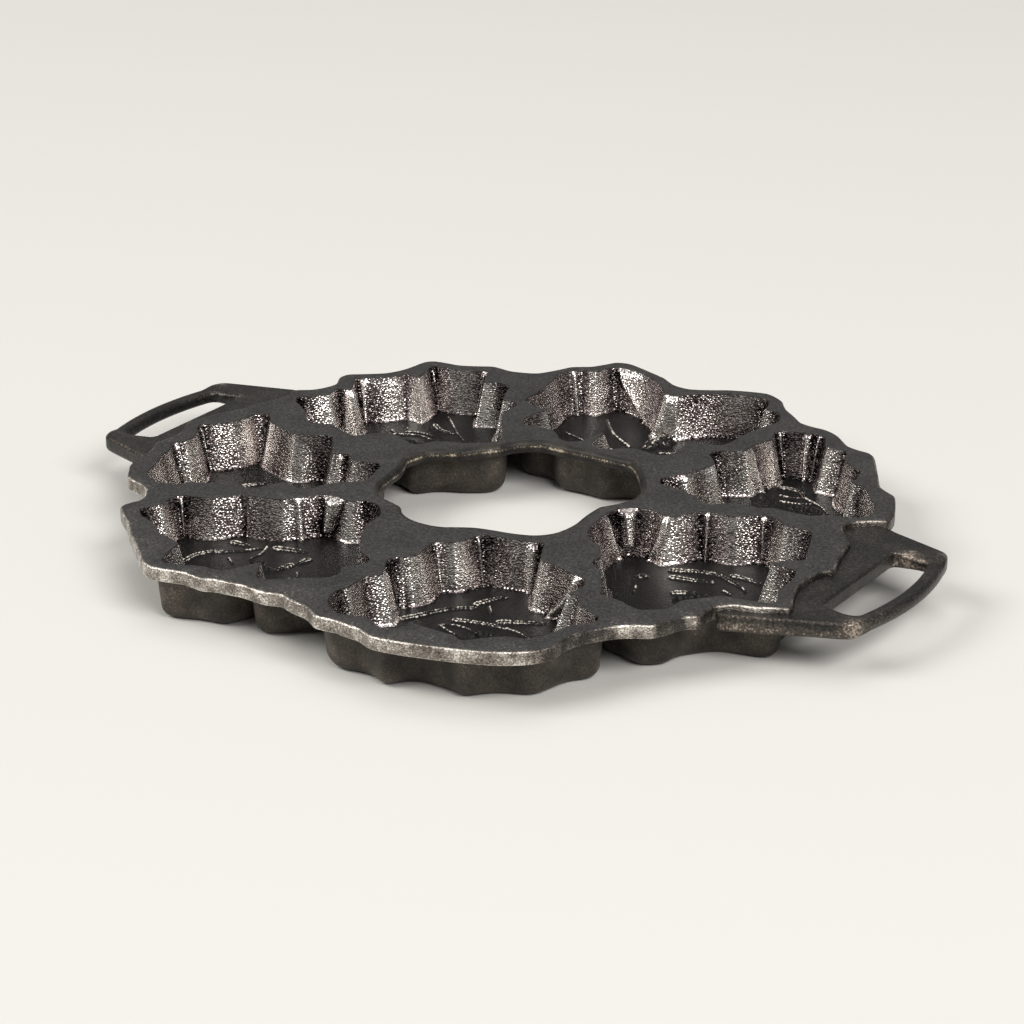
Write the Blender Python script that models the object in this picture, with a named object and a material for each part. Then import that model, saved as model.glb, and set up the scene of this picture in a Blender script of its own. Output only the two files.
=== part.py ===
"""Wreath cake pan in cast iron: six holly cups and a bow cup under one scalloped deck, with two D handles.

Metres, +Z up. The pan stands on the bases of its cups at z = 0, and the middle of the whole pan is over the
origin.

Each outline is read clockwise from above. Its rows are x and y from the wreath's centre, and the rise of the
arc that runs to the next row, which is positive where the arc bulges outwards. Rows are in millimetres for a
wreath that is WREATH_WIDTH wide, and follow it when it changes.
"""

import math

import bmesh
import bpy
import numpy as np

WREATH_WIDTH = 0.3188

PAN_HEIGHT = 0.0245
DECK_THICK = 0.0056
DECK_EDGE = 0.0007
MOUTH_EDGE = 0.0008
SEAM = 0.0003

CUP_DRAFT = math.radians(12)
FLOOR_CORNER = 0.0028
SHELL_MARGIN = 0.0024
SHELL_DRAFT = math.radians(5)
SHELL_CORNER = 0.0055
SHELL_EASE = 0.0026
BOW_DEPTH = 0.0200
UPPER_LEFT_DEPTH = 0.0205
LEFT_DEPTH = 0.0210
LOWER_LEFT_DEPTH = 0.0175
LOWER_RIGHT_DEPTH = 0.0205
RIGHT_DEPTH = 0.0200
UPPER_RIGHT_DEPTH = 0.0205

HANDLE_DROP = 0.0021
HANDLE_THICK = 0.0072
HANDLE_TOP_EDGE = 0.0013
HANDLE_BASE_EDGE = 0.0026
HANDLE_CORNER = 0.0036
HANDLE_FLARE = math.radians(17)
HANDLE_BRIDGE = 0.0050
ARM_WIDTH = 0.0106
ROOT_OVERLAP = 0.0115
HEEL_OVERLAP = 0.0250
HEEL_RISE = 0.0070
SLOT_WIDTH = 0.0189
SLOT_HALF = 0.0310
GRIP_WIDTH = 0.0069
GRIP_THICK = 0.0056
GRIP_DROP = 0.0029
GRIP_RADIUS = 0.1249
GRIP_EDGE = 0.0022

RIB_HEIGHT = 0.0011
RIB_SINK = 0.0005
RIB_GROOVE = 0.3
VEIN_WIDTH = 0.0024
VEIN_TAPER = 0.35
VEIN_ANGLE = math.radians(42)
MIDRIB_STOPS = (0, 0.35, 0.7, 1)
BERRY_RADIUS = 0.0027
BERRY_HEIGHT = 0.0020
BERRY_SIDES = 10
BERRY_RINGS = 6

TRACE_STEP = 0.0008
TRACE_SMOOTHING = 0.0006
CARRY_STEP = 0.0004
CARRY_SMOOTHING = 0.00048
CORNER_GAP = 0.0007
SPREAD_ROUNDS = 60
SPREAD_SHARE = 0.25
ARC_TOLERANCE = 0.00045
ARC_SLACK = 0.1
ROUND_STEPS = 3
EDGE_SEGMENTS = 2
ARM_STOPS = 3
GRIP_STATIONS = 12
SHARP_ANGLE = math.radians(35)

BOW_RIGHT = (
    (3, 134.4, 4.6), (36.5, 154, 0.5), (41.5, 151.3, 0), (44.8, 142, 0.3), (51, 141.3, 1),
    (57.3, 129.5, -0.8), (52, 104, 0.3), (51.8, 95.5, 1.5), (46, 89.8, 0.2), (36.4, 86.8, 0.3),
    (38, 79, 0.5), (37.8, 71.5, 1.5), (32, 66.6, -0.3), (20.5, 67.4, -0.6), (13, 61, 1.6), (4, 61, 0.5),
    (1.3, 69, 0), (0.9, 76.5, 0),
)
UPPER_LEFT = (
    (-138.2, 42, -0.8), (-129, 51, 0.3), (-130.3, 59.5, 0.3), (-124, 60.8, -0.3), (-131, 72.5, 0.6),
    (-131, 76.3, -2.2), (-116, 91.8, 0.5), (-108.6, 91.8, -0.4), (-111.2, 104, 0.6),
    (-111, 108.8, -1.8), (-88.5, 115.2, 0.5), (-85.6, 114.5, -0.4), (-79.6, 102.5, -0.2),
    (-74.5, 105.6, 0.5), (-67.5, 105, 0.3), (-64.8, 99, -0.2), (-60, 88.3, -0.2), (-55, 88.8, 0.8),
    (-50.2, 84, 0.2), (-51, 76, -0.5), (-46, 66, -0.2), (-34, 49, 0.8), (-33.3, 42, 0.6), (-38, 37, 0),
    (-44, 33, -0.3), (-56.5, 27, 1.2), (-62, 19.8, 0.2), (-71, 24.5, -1.2), (-82.5, 22.5, -0.2),
    (-87, 15.5, 1), (-94, 15.5, 0.2), (-104, 20, -0.2), (-111.5, 17.8, 0.6), (-117, 18, 0.3),
    (-122, 24.8, -0.3), (-135, 34.5, 0.3), (-137.8, 38, 0.5),
)
LEFT = (
    (-141.5, 9, 0.5), (-139.5, 13.5, 0.5), (-136, 15.3, 0.2), (-130, 8.5, -0.4), (-112, 2, -0.5),
    (-101, 8, 0.8), (-96, 8.5, -0.2), (-91.5, 3, -0.3), (-84, -7, 0.6), (-78, -5, 0), (-72, -9, -0.4),
    (-62, -6.5, 0.6), (-58, -9, 0.3), (-54, -25, 0.8), (-57, -30.5, -0.6), (-64, -36.5, -0.5),
    (-67, -46, 0.8), (-73, -48, -0.2), (-81, -46.3, -0.6), (-85.5, -56, 0.8), (-93, -60, 0.2),
    (-101, -58, -0.5), (-107, -65, 0.5), (-113.5, -66.7, 0.2), (-116.5, -71.5, 1), (-126, -75, 0.8),
    (-136, -69, -0.6), (-144, -49, 0.1), (-144.3, -45, -0.4), (-149, -36.5, 0.8), (-146, -30.5, 0.1),
    (-146, -25, -0.3), (-153, -13.5, 1), (-150.5, -8.5, -0.5), (-143.5, 0, -0.4),
)
LOWER_LEFT = (
    (-112.3, -102, 0.6), (-108.3, -93, 0.3), (-109, -83.5, 0.6), (-105, -79.5, -0.3),
    (-95.5, -76.5, -0.6), (-88, -66.5, 0.5), (-80, -65, -0.2), (-70, -61.5, -0.3), (-60, -49, 0.8),
    (-52, -47, -0.2), (-46, -48, -0.3), (-41, -43.8, 0.6), (-34, -44.8, 0.8), (-26.2, -54, 0.2),
    (-25, -66, -0.6), (-12, -88, -0.2), (-5, -91.5, 0.8), (-2, -97, 0.6), (-7.5, -105.5, -0.3),
    (-5, -110, 0.6), (-6, -117, 0.3), (-16, -124, 0.2), (-25, -132, 0.5), (-30, -131.5, 0.2),
    (-37, -119, -0.2), (-43, -132.8, 0.2), (-46, -134.6, -0.2), (-56, -135.7, 0.3), (-66, -140, 0.4),
    (-71, -139.5, 0.4), (-76, -122, -0.6), (-88, -118.5, 0.3), (-96, -112, -0.2), (-106, -108, 0.6),
)
LOWER_RIGHT = (
    (4, -86, 0.4), (7, -84, -0.3), (10, -77, 0.3), (8, -65.5, 0.5), (15, -60.5, -0.2), (18, -53, 0.3),
    (20, -48.2, 0.5), (26, -46, -0.8), (44, -42, 0.6), (47, -44.5, -0.4), (54, -57, -0.2),
    (61, -57.5, -0.6), (77, -63, 0.6), (81.5, -69, 0.3), (80, -78.5, -0.2), (84, -78, 0.3),
    (90, -86, -0.3), (101, -90.5, 1.2), (102, -98, 0.1), (97, -102.5, -0.2), (93.5, -118.5, 0.6),
    (88, -123.5, -0.5), (79, -127.5, -0.2), (71, -137, 0.5), (66, -135, 0.1), (48, -134.5, -0.3),
    (41, -145, 0.5), (33, -141, -0.3), (27, -140.2, 0.5), (16, -142.2, 0.6), (7, -135, 0.3),
    (4, -125, 0.5), (6, -120, -0.2), (5, -109, 0.3), (10, -103, 0), (3.5, -91, 0.6),
)
RIGHT = (
    (50, -2, 0.3), (52, 7, 0.6), (59, 11.2, 0.5), (66.5, 11.5, -0.2), (72, 9, -0.6), (80, 21, 0.5),
    (87, 23.5, -0.2), (95, 24.5, -0.3), (103, 31.5, 0.6), (109, 32.8, -0.2), (117, 27.5, 0.1),
    (126, 28.2, 0.8), (131, 24, -0.2), (140.8, 1, 0.8), (137, -3, -0.1), (131, -10, 0.1),
    (138, -10.2, 0.1), (142, -10.6, 0.6), (145.5, -19, 0.2), (146.5, -32, -0.3), (151, -40.5, 0.6),
    (148, -45, 0.2), (131, -48.5, -0.3), (126, -54, -0.2), (120, -61, -0.2), (119.5, -70, 0.6),
    (111, -77, 0.6), (102, -74, -0.1), (91, -73, -0.5), (80, -55, -0.1), (72, -48, 0.6),
    (72, -42, -0.3), (65, -32, 0.4), (57, -27, 0.6), (52, -17, 0.1),
)
UPPER_RIGHT = (
    (62, 118.5, 0.3), (65, 122.5, 0.2), (78, 126.3, 0.4), (83.5, 124.5, 0.1), (89.5, 115.2, -0.2),
    (98.5, 115.5, 0.2), (104, 105, -0.3), (110, 99.7, 0.1), (115, 97.5, 0.3), (118, 84, -0.1),
    (123, 83, 0.4), (131, 74, -0.1), (137, 67, 0.5), (140.7, 56, 0.6), (137, 49.8, 0.1),
    (126, 46, -0.3), (121, 41.5, 0.2), (104, 40.7, -0.2), (99, 37.8, 0.1), (88, 37, -0.1),
    (80.5, 30.2, 0.6), (75, 32, 0.1), (65, 37, -0.5), (52, 38.5, 0.6), (48.3, 45, 0.3), (54, 53, -0.3),
    (58.5, 67.5, -0.1), (59, 71.5, -0.3), (52, 79, 0.6), (51.2, 85, 0.4), (58, 88, 0.2),
    (62, 92.5, 0.2), (62.7, 101, 0.1), (65.2, 109.5, -0.2),
)
CENTRE_HOLE = (
    (-28, 38, 0.4), (-24.5, 45.5, 0.8), (-16, 52.2, 0), (28, 52.8, 0.6), (38, 43, 0.4),
    (46.5, 31.5, 0.8), (50, 19, 1), (43, 3.5, -0.5), (44, -14, 0.8), (43, -29, 1), (36, -37, 0.4),
    (24, -40.2, -0.2), (13, -42.5, -0.2), (2, -49, 1), (-12, -49.8, 1.5), (-25, -40.5, -0.2),
    (-38, -36.5, 0.8), (-46, -25, 0.2), (-49, -7, -0.3), (-53.5, 4, 1), (-50, 17, 0.8), (-39, 24, 0.4),
)
RIM = (
    (-146, 46.5, 0.2), (-139.5, 51, -0.2), (-136, 57, -0.1), (-134.5, 63, -0.2), (-138.5, 70.5, 0.4),
    (-138, 77, -0.2), (-124.5, 87.5, -0.8), (-119.5, 100, 0), (-118.5, 109, 1.5), (-112, 114.5, 0.1),
    (-102, 115.2, -0.3), (-88, 122.8, 0.2), (-78, 121.5, -0.4), (-66, 125.5, -0.6), (-58, 141.5, 0.1),
    (-50, 147, -0.2), (-44, 158, 1), (-35, 160, 0.2), (-13, 152, -0.2), (-5, 146.5, -0.5),
    (4, 145.8, -0.3), (18, 154, 0.6), (36, 160, 0.6), (47, 154, -0.2), (53, 146, 0.3), (66, 135, -0.6),
    (78, 133.5, 0.6), (88, 129, 0), (97, 120.5, -0.4), (108, 118.7, 0.6), (114, 113, 0.1),
    (130, 86, -0.3), (140, 80, 0.3), (149, 62, 0.2), (150.5, 54, 0.5), (147.5, 51.5, -0.6),
    (137.5, 43.3, 0.3), (136.6, 40.5, -0.3), (140, 34.5, -0.3), (147, 26.5, 0.5), (148.8, 20, -0.4),
    (155.3, -2, 0.3), (155, -5, 0.2), (152.2, -6.5, -0.6), (151, -24, -0.6), (159.3, -44, 0.5),
    (157, -46.8, -0.3), (148, -51.5, 0.1), (138, -54.5, 0.5), (133.4, -59.5, -0.3), (134, -70, 0.4),
    (130, -73, -0.4), (126, -83, 0.2), (123, -88, 0.2), (117.5, -91, -0.2), (112, -95.5, -0.3),
    (103.5, -108.5, 0.4), (102.2, -114, -0.1), (103, -122, 0.5), (98.5, -131, 0.8), (85, -141, 0.6),
    (60, -149.7, 0.3), (45, -153.2, 0.4), (38, -153, -0.3), (30, -149.8, 0.5), (21, -148.8, 0.2),
    (11, -149.8, -0.6), (1, -144, 0.8), (-11, -140.3, 0.5), (-19.5, -143, -0.2), (-31, -142, 0.4),
    (-41, -143.2, -0.1), (-45.5, -145.8, -0.1), (-57, -144.5, 0.4), (-70, -147.5, 1), (-80, -141.5, 0),
    (-95, -128.5, 0.2), (-108, -116, 0.2), (-116, -107.5, 0.6), (-119.3, -102.5, 0.4),
    (-116, -95, -0.3), (-118, -89.5, 0), (-121.5, -84.5, 0.3), (-128, -81, 0), (-137.5, -79.5, 0.4),
    (-142.5, -74, 0), (-147.5, -67, 0.3), (-150.5, -56, 0), (-151.5, -48, 0), (-155.5, -40, 0.3),
    (-153.5, -28, -0.3), (-159.5, -14, 0.4), (-159.5, -8, 0), (-155, 5, 0), (-150.5, 15, 0.2),
    (-150, 24, 0), (-146, 30, 0), (-144, 37, -0.4),
)


ROW_UNIT = WREATH_WIDTH / (max(row[0] for row in RIM) - min(row[0] for row in RIM))


def mirrored(rows):
    """Rows of a half outline at +x, followed by the same rows at -x, which closes it."""
    rises = [rise for _, _, rise in rows]
    back = [(-x, y, rises[place - 1] if place else 0) for place, (x, y, _) in enumerate(rows)]
    return tuple(rows) + tuple(reversed(back))


def unit(vectors):
    return vectors / np.linalg.norm(vectors, axis=1, keepdims=True)


def outward(along):
    """The left-hand side of each direction, which faces out of a clockwise loop."""
    return np.column_stack((-along[:, 1], along[:, 0]))


class Contour:
    """A closed line as evenly spaced points, with the place along it of each corner of its outline."""

    def __init__(self, points, corners):
        self.points = points
        self.corners = corners

    @classmethod
    def drawn(cls, rows):
        """The contour of an outline. A round stretch gets corners of its own, and more if it rises more."""
        points, corners = [], []
        spots = np.array(rows) * ROW_UNIT
        for spot, after in zip(spots, np.roll(spots, -1, axis=0)):
            start, chord, rise = spot[:2], after[:2] - spot[:2], spot[2]
            length = np.hypot(*chord)
            side = np.array((-chord[1], chord[0])) / length
            count = max(2, round(length / TRACE_STEP))
            shares = np.arange(count) / count
            bends = max(1, math.ceil(math.sqrt(abs(rise) / ARC_TOLERANCE) - ARC_SLACK))
            corners += [len(points) + count * bend / bends for bend in range(bends)]
            bulge = 4 * rise * shares * (1 - shares)
            points += list(start + shares[:, None] * chord + bulge[:, None] * side)
        return cls(np.array(points), np.array(corners)).evened(TRACE_SMOOTHING)

    def evened(self, smoothing):
        """The same line with its points spaced evenly and its small kinks smoothed away."""
        closed = np.vstack((self.points, self.points[:1]))
        lengths = np.linalg.norm(np.diff(closed, axis=0), axis=1)
        reach = np.concatenate(((0.0,), np.cumsum(lengths)))
        count = round(reach[-1] / TRACE_STEP)
        stops = np.arange(count) * reach[-1] / count
        points = np.column_stack([np.interp(stops, reach, closed[:, axis]) for axis in (0, 1)])
        corners = np.interp(self.corners, np.arange(len(reach)), reach) * count / reach[-1]
        waves = np.fft.fftfreq(count, reach[-1] / count) * math.tau * smoothing
        line = np.fft.ifft(np.fft.fft(points[:, 0] + 1j * points[:, 1]) * np.exp(-0.5 * waves**2))
        return Contour(np.column_stack((line.real, line.imag)), corners)

    def carried(self, distance):
        """The line moved outwards, or inwards by a negative distance, in steps that round its tips."""
        moved = self
        steps = math.ceil(abs(distance) / CARRY_STEP)
        for _ in range(steps):
            ahead, behind = np.roll(moved.points, -1, axis=0), np.roll(moved.points, 1, axis=0)
            along = unit(ahead - behind)
            shifted = moved.points + outward(along) * distance / steps
            moved = Contour(shifted, moved.corners).evened(CARRY_SMOOTHING)
        return moved

    def bridged(self, first, last):
        """The line with the stretch between two of its spots drawn straight, as across a slit."""
        start, end = (self.nearest(np.array(spot) * ROW_UNIT) for spot in (first, last))
        points = self.points.copy()
        shares = np.linspace(0, 1, end - start + 1)[:, None]
        points[start : end + 1] = points[start] * (1 - shares) + points[end] * shares
        return Contour(points, self.corners).evened(TRACE_SMOOTHING)

    def nearest(self, spot):
        return int(np.argmin(np.linalg.norm(self.points - spot, axis=1)))

    def loop(self):
        """One point at each corner, with corners that ran together eased apart along the line."""
        count = len(self.points)
        least = CORNER_GAP / TRACE_STEP
        places = self.corners.copy()
        for _ in range(SPREAD_ROUNDS):
            gaps = np.diff(places, append=places[0] + count)
            push = np.maximum(0.0, least - gaps) * SPREAD_SHARE
            places += np.roll(push, 1) - push
        whole = np.append(self.points, self.points[:1], axis=0)
        steps = np.arange(count + 1)
        return np.column_stack([np.interp(places % count, steps, whole[:, axis]) for axis in (0, 1)])

    def middle_y(self):
        return (self.points[:, 1].max() + self.points[:, 1].min()) / 2


class Rib:
    """A line raised on a cup's floor, through spots in rows' units. A broad one has a groove along it."""

    def __init__(self, width, *spots, grooved=False):
        self.width = width * ROW_UNIT
        self.spots = [np.array(spot) * ROW_UNIT for spot in spots]
        self.grooved = grooved

    def section(self, size):
        """Offsets across, in shares of the width, and heights over the floor, at this share of its size."""
        crest = RIB_HEIGHT * size
        if self.grooved:
            valley = (0, crest * RIB_GROOVE)
            return ((0.5, -RIB_SINK), (0.25, crest), valley, (-0.25, crest), (-0.5, -RIB_SINK))
        return ((0.5, -RIB_SINK), (0, crest), (-0.5, -RIB_SINK))


class Leaf:
    """A holly leaf raised on a cup's floor: a midrib from stem to tip and pairs of side veins."""

    def __init__(self, stem, tip, bend, reach=0.0, pairs=0):
        self.stem = np.array(stem)
        self.tip = np.array(tip)
        self.bend = bend
        self.reach = reach
        self.pairs = pairs

    def spot(self, share):
        """A point on the midrib at this share of its length, and the direction there."""
        chord = self.tip - self.stem
        side = np.array((-chord[1], chord[0])) / np.linalg.norm(chord)
        place = self.stem + share * chord + 4 * self.bend * share * (1 - share) * side
        along = chord + 4 * self.bend * (1 - 2 * share) * side
        return place, along / np.linalg.norm(along)

    def veins(self):
        """The leaf as ribs. A side vein is longest halfway along the midrib."""
        width = VEIN_WIDTH / ROW_UNIT
        ribs = [Rib(width, *(self.spot(share)[0] for share in MIDRIB_STOPS))]
        for pair in range(self.pairs):
            share = (pair + 1) / (self.pairs + 1)
            place, along = self.spot(share)
            length = self.reach * math.sin(math.pi * share)
            for turn in (VEIN_ANGLE, -VEIN_ANGLE):
                cos, sin = math.cos(turn), math.sin(turn)
                lean = np.array((along @ (cos, -sin), along @ (sin, cos)))
                ribs.append(Rib(width, place, place + lean * length))
        return ribs


class Cup:
    """One cup of the wreath: its mouth outline, the depth of its floor, and what is raised on the floor."""

    def __init__(self, name, rows, depth, ribs=(), leaves=(), berries=(), slit=None):
        self.name = name
        self.mouth = Contour.drawn(rows)
        self.depth = depth
        self.ribs = list(ribs) + [vein for leaf in leaves for vein in leaf.veins()]
        self.berries = berries
        self.slit = slit

    def wall(self, depth):
        """The inner wall's contour at a depth below the deck top."""
        return self.mouth.carried(-depth * math.tan(CUP_DRAFT))

    def skin(self):
        """The outer wall's contour under the deck, with the mouth's small scallops eased."""
        line = self.mouth.bridged(*self.slit) if self.slit else self.mouth
        return line.carried(SHELL_MARGIN + SHELL_EASE).evened(SHELL_EASE).carried(-SHELL_EASE)

    def rings(self):
        """The cup's section as contours and depths, from its base round its lip to its floor."""
        skin = self.skin()
        lip_depth = DECK_THICK + SEAM
        corner_depth = PAN_HEIGHT - SHELL_CORNER
        fall = (corner_depth - lip_depth) * math.tan(SHELL_DRAFT)
        rings = []
        for step in range(ROUND_STEPS + 1):
            angle = math.pi / 2 * (1 - step / ROUND_STEPS)
            inset = fall + SHELL_CORNER * (1 - math.cos(angle))
            rings.append((skin.carried(-inset), corner_depth + SHELL_CORNER * math.sin(angle)))
        rings += [(skin, lip_depth), (self.wall(lip_depth), lip_depth)]
        foot_depth = self.depth - FLOOR_CORNER
        foot = self.wall(foot_depth)
        for step in range(ROUND_STEPS):
            angle = math.pi / 2 * step / (ROUND_STEPS - 1)
            inset = FLOOR_CORNER * (1 - math.cos(angle))
            rings.append((foot.carried(-inset), foot_depth + FLOOR_CORNER * math.sin(angle)))
        return rings

    def floor_height(self):
        return PAN_HEIGHT - self.depth


CUPS = (
    Cup(
        "cup_bow",
        mirrored(BOW_RIGHT),
        BOW_DEPTH,
        ribs=(
            Rib(7.0, (0, 129.5), (-0.6, 123), (-1, 115), grooved=True),
            Rib(2.6, (8, 112), (22, 122), (34, 136)),
            Rib(2.6, (-8, 112), (-22, 122), (-34, 136)),
            Rib(2.6, (9, 104), (24, 106), (42, 112)),
            Rib(2.6, (-9, 104), (-24, 106), (-42, 112)),
            Rib(2.6, (7, 94), (17, 86), (26, 74)),
            Rib(2.6, (-7, 94), (-17, 86), (-26, 74)),
        ),
        slit=((5, 60.2), (-5, 60.2)),
    ),
    Cup(
        "cup_upper_left",
        UPPER_LEFT,
        UPPER_LEFT_DEPTH,
        ribs=(
            Rib(2.0, (-97.6, 100), (-87.6, 90), (-82, 84.4), (-74, 78)),
            Rib(3.2, (-97, 88), (-91, 84), (-83.5, 83.6), grooved=True),
            Rib(2.4, (-106, 68), (-99.7, 71.6), (-94, 73), (-87, 71.6)),
            Rib(2.0, (-103, 73.4), (-96.9, 76.2), (-90.5, 76)),
            Rib(2.0, (-106, 78.4), (-103, 75.4)),
            Rib(2.0, (-110, 72), (-106.5, 70)),
        ),
        leaves=(
            Leaf((-106, 62), (-126, 44), -2, 11, 3),
            Leaf((-80, 64), (-46, 47), 3, 12, 3),
            Leaf((-94, 56), (-92, 24), 2, 10, 3),
        ),
        berries=((-86, 65), (-88, 58), (-94, 63)),
    ),
    Cup(
        "cup_left",
        LEFT,
        LEFT_DEPTH,
        ribs=(Rib(3.4, (-124.6, -18), (-121.8, -14.4), (-119.2, -10.8), grooved=True),),
        leaves=(
            Leaf((-106, -26), (-70, -20), 3, 13, 3),
            Leaf((-116, -34), (-128, -62), -2, 10, 3),
        ),
        berries=((-112, -26), (-108, -33), (-117, -28)),
    ),
    Cup(
        "cup_lower_left",
        LOWER_LEFT,
        LOWER_LEFT_DEPTH,
        ribs=(
            Rib(3.6, (-88.5, -104), (-88.8, -98), (-86, -91), (-80.5, -87), (-74.5, -82), grooved=True),
            Rib(2.0, (-74.5, -82), (-70.3, -76)),
            Rib(4.4, (-83.8, -77.5), (-77, -77), grooved=True),
            Rib(2.2, (-69.4, -73.6), (-67.3, -79.7), (-67.6, -88)),
            Rib(2.0, (-75.2, -91.8), (-70.4, -95.4)),
            Rib(5.0, (-65.2, -72.8), (-53.4, -69.6), grooved=True),
            Rib(4.4, (-47.2, -75.6), (-48, -80.8), grooved=True),
            Rib(4.0, (-49.7, -83.6), (-52, -92.6), grooved=True),
            Rib(2.0, (-43, -88.2), (-40.4, -92)),
        ),
        leaves=(
            Leaf((-42, -96), (-12, -100), 3, 11, 3),
            Leaf((-54, -99), (-58, -132), -2, 9, 3),
        ),
        berries=((-56.6, -93.4), (-62, -90)),
    ),
    Cup(
        "cup_lower_right",
        LOWER_RIGHT,
        LOWER_RIGHT_DEPTH,
        ribs=(
            Rib(4.4, (15.2, -96.4), (20.4, -87), (24.6, -79.4), (32.4, -72.6), grooved=True),
            Rib(4.0, (31.4, -69), (33.8, -63), (37.3, -57), grooved=True),
            Rib(2.0, (37, -68.3), (41.4, -73.5)),
            Rib(4.4, (48.6, -78.6), (63.4, -70.4), grooved=True),
            Rib(3.6, (33, -86.9), (40, -84.4), (46, -83), (54, -82.4), grooved=True),
            Rib(2.0, (54, -82.4), (61.3, -83.3), (66.4, -85.5)),
            Rib(2.0, (30.4, -94), (35, -91), (41.5, -90.7), (46.6, -92.4)),
            Rib(2.0, (30.4, -94), (37.7, -96.9), (45, -99.2)),
        ),
        leaves=(
            Leaf((58, -90), (92, -96), -3, 11, 3),
            Leaf((50, -102), (50, -128), 2, 10, 3),
            Leaf((34, -104), (18, -132), -2, 9, 3),
        ),
        berries=((50, -93), (44, -105), (56, -96)),
    ),
    Cup(
        "cup_right",
        RIGHT,
        RIGHT_DEPTH,
        ribs=(
            Rib(3.8, (79.4, 1.4), (91, 6.5), (98, 7.5), (105, 5), (112, 1.6), grooved=True),
            Rib(2.0, (112, 1.6), (115.2, -1.2)),
            Rib(3.6, (103, 10.2), (110, 10.2), (115.8, 9), grooved=True),
            Rib(4.6, (83.4, -4.4), (91, -3), (99, -0.2), grooved=True),
            Rib(2.0, (107.2, -4.9), (111.4, -6.8)),
            Rib(2.0, (75.4, -20), (78, -26.2)),
            Rib(4.4, (92, -17.4), (98.6, -12.6), grooved=True),
        ),
        leaves=(
            Leaf((104, -26), (112, -64), 3, 11, 3),
            Leaf((112, -16), (140, -34), 2, 9, 3),
        ),
        berries=((72.6, -10.4), (103, -16), (98, -22)),
    ),
    Cup(
        "cup_upper_right",
        UPPER_RIGHT,
        UPPER_RIGHT_DEPTH,
        ribs=(
            Rib(3.0, (71.6, 106.2), (77, 107.6), (83, 105.6), (86.6, 101.4), grooved=True),
            Rib(2.0, (76, 98.5), (82, 98.7), (86.6, 101.4)),
            Rib(2.4, (79.6, 92.4), (85.7, 93.5), (92.2, 97)),
            Rib(2.2, (86.6, 101.4), (92.9, 98.7), (98, 95.9), (103.4, 91)),
        ),
        leaves=(
            Leaf((98, 84), (130, 64), 2, 11, 3),
            Leaf((86, 82), (64, 48), -2, 12, 3),
        ),
        berries=((92, 84), (97, 90), (90, 90)),
    ),
)


class Iron:
    """Seasoned cast iron: nearly black, slightly warm and half metallic, with the sheen of its grain."""

    METALLIC = 0.6
    WARMTH = (1, 0.96, 0.92)

    def __init__(self, tint, roughness):
        self.tint = tint
        self.roughness = roughness

    def made(self, name):
        colour = (*(self.tint * share for share in self.WARMTH), 1)
        material = bpy.data.materials.new(f"{name}_iron")
        material.use_nodes = True
        principled = material.node_tree.nodes["Principled BSDF"]
        principled.inputs["Base Color"].default_value = colour
        principled.inputs["Metallic"].default_value = self.METALLIC
        principled.inputs["Roughness"].default_value = self.roughness
        material.diffuse_color = colour
        return material


DECK_IRON = Iron(0.045, 0.55)
CUP_IRON = Iron(0.06, 0.42)
HANDLE_IRON = Iron(0.05, 0.5)


def piece(name, bm, material, parent):
    """A named object from a bmesh, shaded smooth except across its clear edges."""
    bmesh.ops.recalc_face_normals(bm, faces=bm.faces)
    mesh = bpy.data.meshes.new(name)
    bm.to_mesh(mesh)
    bm.free()
    mesh.materials.append(material)
    mesh.shade_smooth()
    mesh.set_sharp_from_angle(angle=SHARP_ANGLE)
    obj = bpy.data.objects.new(name, mesh)
    obj.parent = parent
    bpy.context.scene.collection.objects.link(obj)
    return obj


def helper(name, bm, material, parent):
    """A shape that a Boolean uses and a render leaves out."""
    obj = piece(name, bm, material, parent)
    obj.hide_render = True
    obj.display_type = "WIRE"
    return obj


def combine(obj, other, operation):
    modifier = obj.modifiers.new(f"{operation.lower()} {other.name}", "BOOLEAN")
    modifier.operation = operation
    modifier.solver = "EXACT"
    modifier.use_self = operation == "UNION"
    modifier.object = other


def add_ring(bm, loop, height):
    return [bm.verts.new((x, y, height)) for x, y in loop]


def add_band(bm, lower, upper):
    """Quads between two rings of as many points."""
    for place in range(len(lower)):
        bm.faces.new((lower[place - 1], lower[place], upper[place], upper[place - 1]))


def edges_of(*rings):
    """The edges that run round each ring."""
    found = []
    for ring in rings:
        for place, vert in enumerate(ring):
            found.append(next(edge for edge in vert.link_edges if edge.other_vert(vert) is ring[place - 1]))
    return found


def lofted(rings):
    """A closed skin over loops and heights, with its first and last loop filled."""
    bm = bmesh.new()
    loops = [add_ring(bm, loop, height) for loop, height in rings]
    for lower, upper in zip(loops, loops[1:]):
        add_band(bm, lower, upper)
    bm.faces.new(loops[0])
    bm.faces.new(loops[-1])
    return bm


def deck_rings(bm):
    """The bands of the deck's rim and of each opening, as the rings at its top and underside."""
    top, underside = [], []

    def band(levels):
        rings = [add_ring(bm, contour.loop(), PAN_HEIGHT - depth) for contour, depth in levels]
        for lower, upper in zip(rings, rings[1:]):
            add_band(bm, lower, upper)
        top.append(rings[0])
        underside.append(rings[-1])

    rim = Contour.drawn(RIM)
    worn = rim.carried(-DECK_EDGE)
    band(((worn, 0), (rim, DECK_EDGE), (rim, DECK_THICK - DECK_EDGE), (worn, DECK_THICK)))
    hole = Contour.drawn(CENTRE_HOLE)
    wide = hole.carried(DECK_EDGE)
    band(((wide, 0), (hole, DECK_EDGE), (hole, DECK_THICK - DECK_EDGE), (wide, DECK_THICK)))
    for cup in CUPS:
        mouth = cup.mouth.carried(MOUTH_EDGE)
        band(((mouth, 0), (cup.wall(MOUTH_EDGE), MOUTH_EDGE), (cup.wall(DECK_THICK), DECK_THICK)))
    return top, underside


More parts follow.
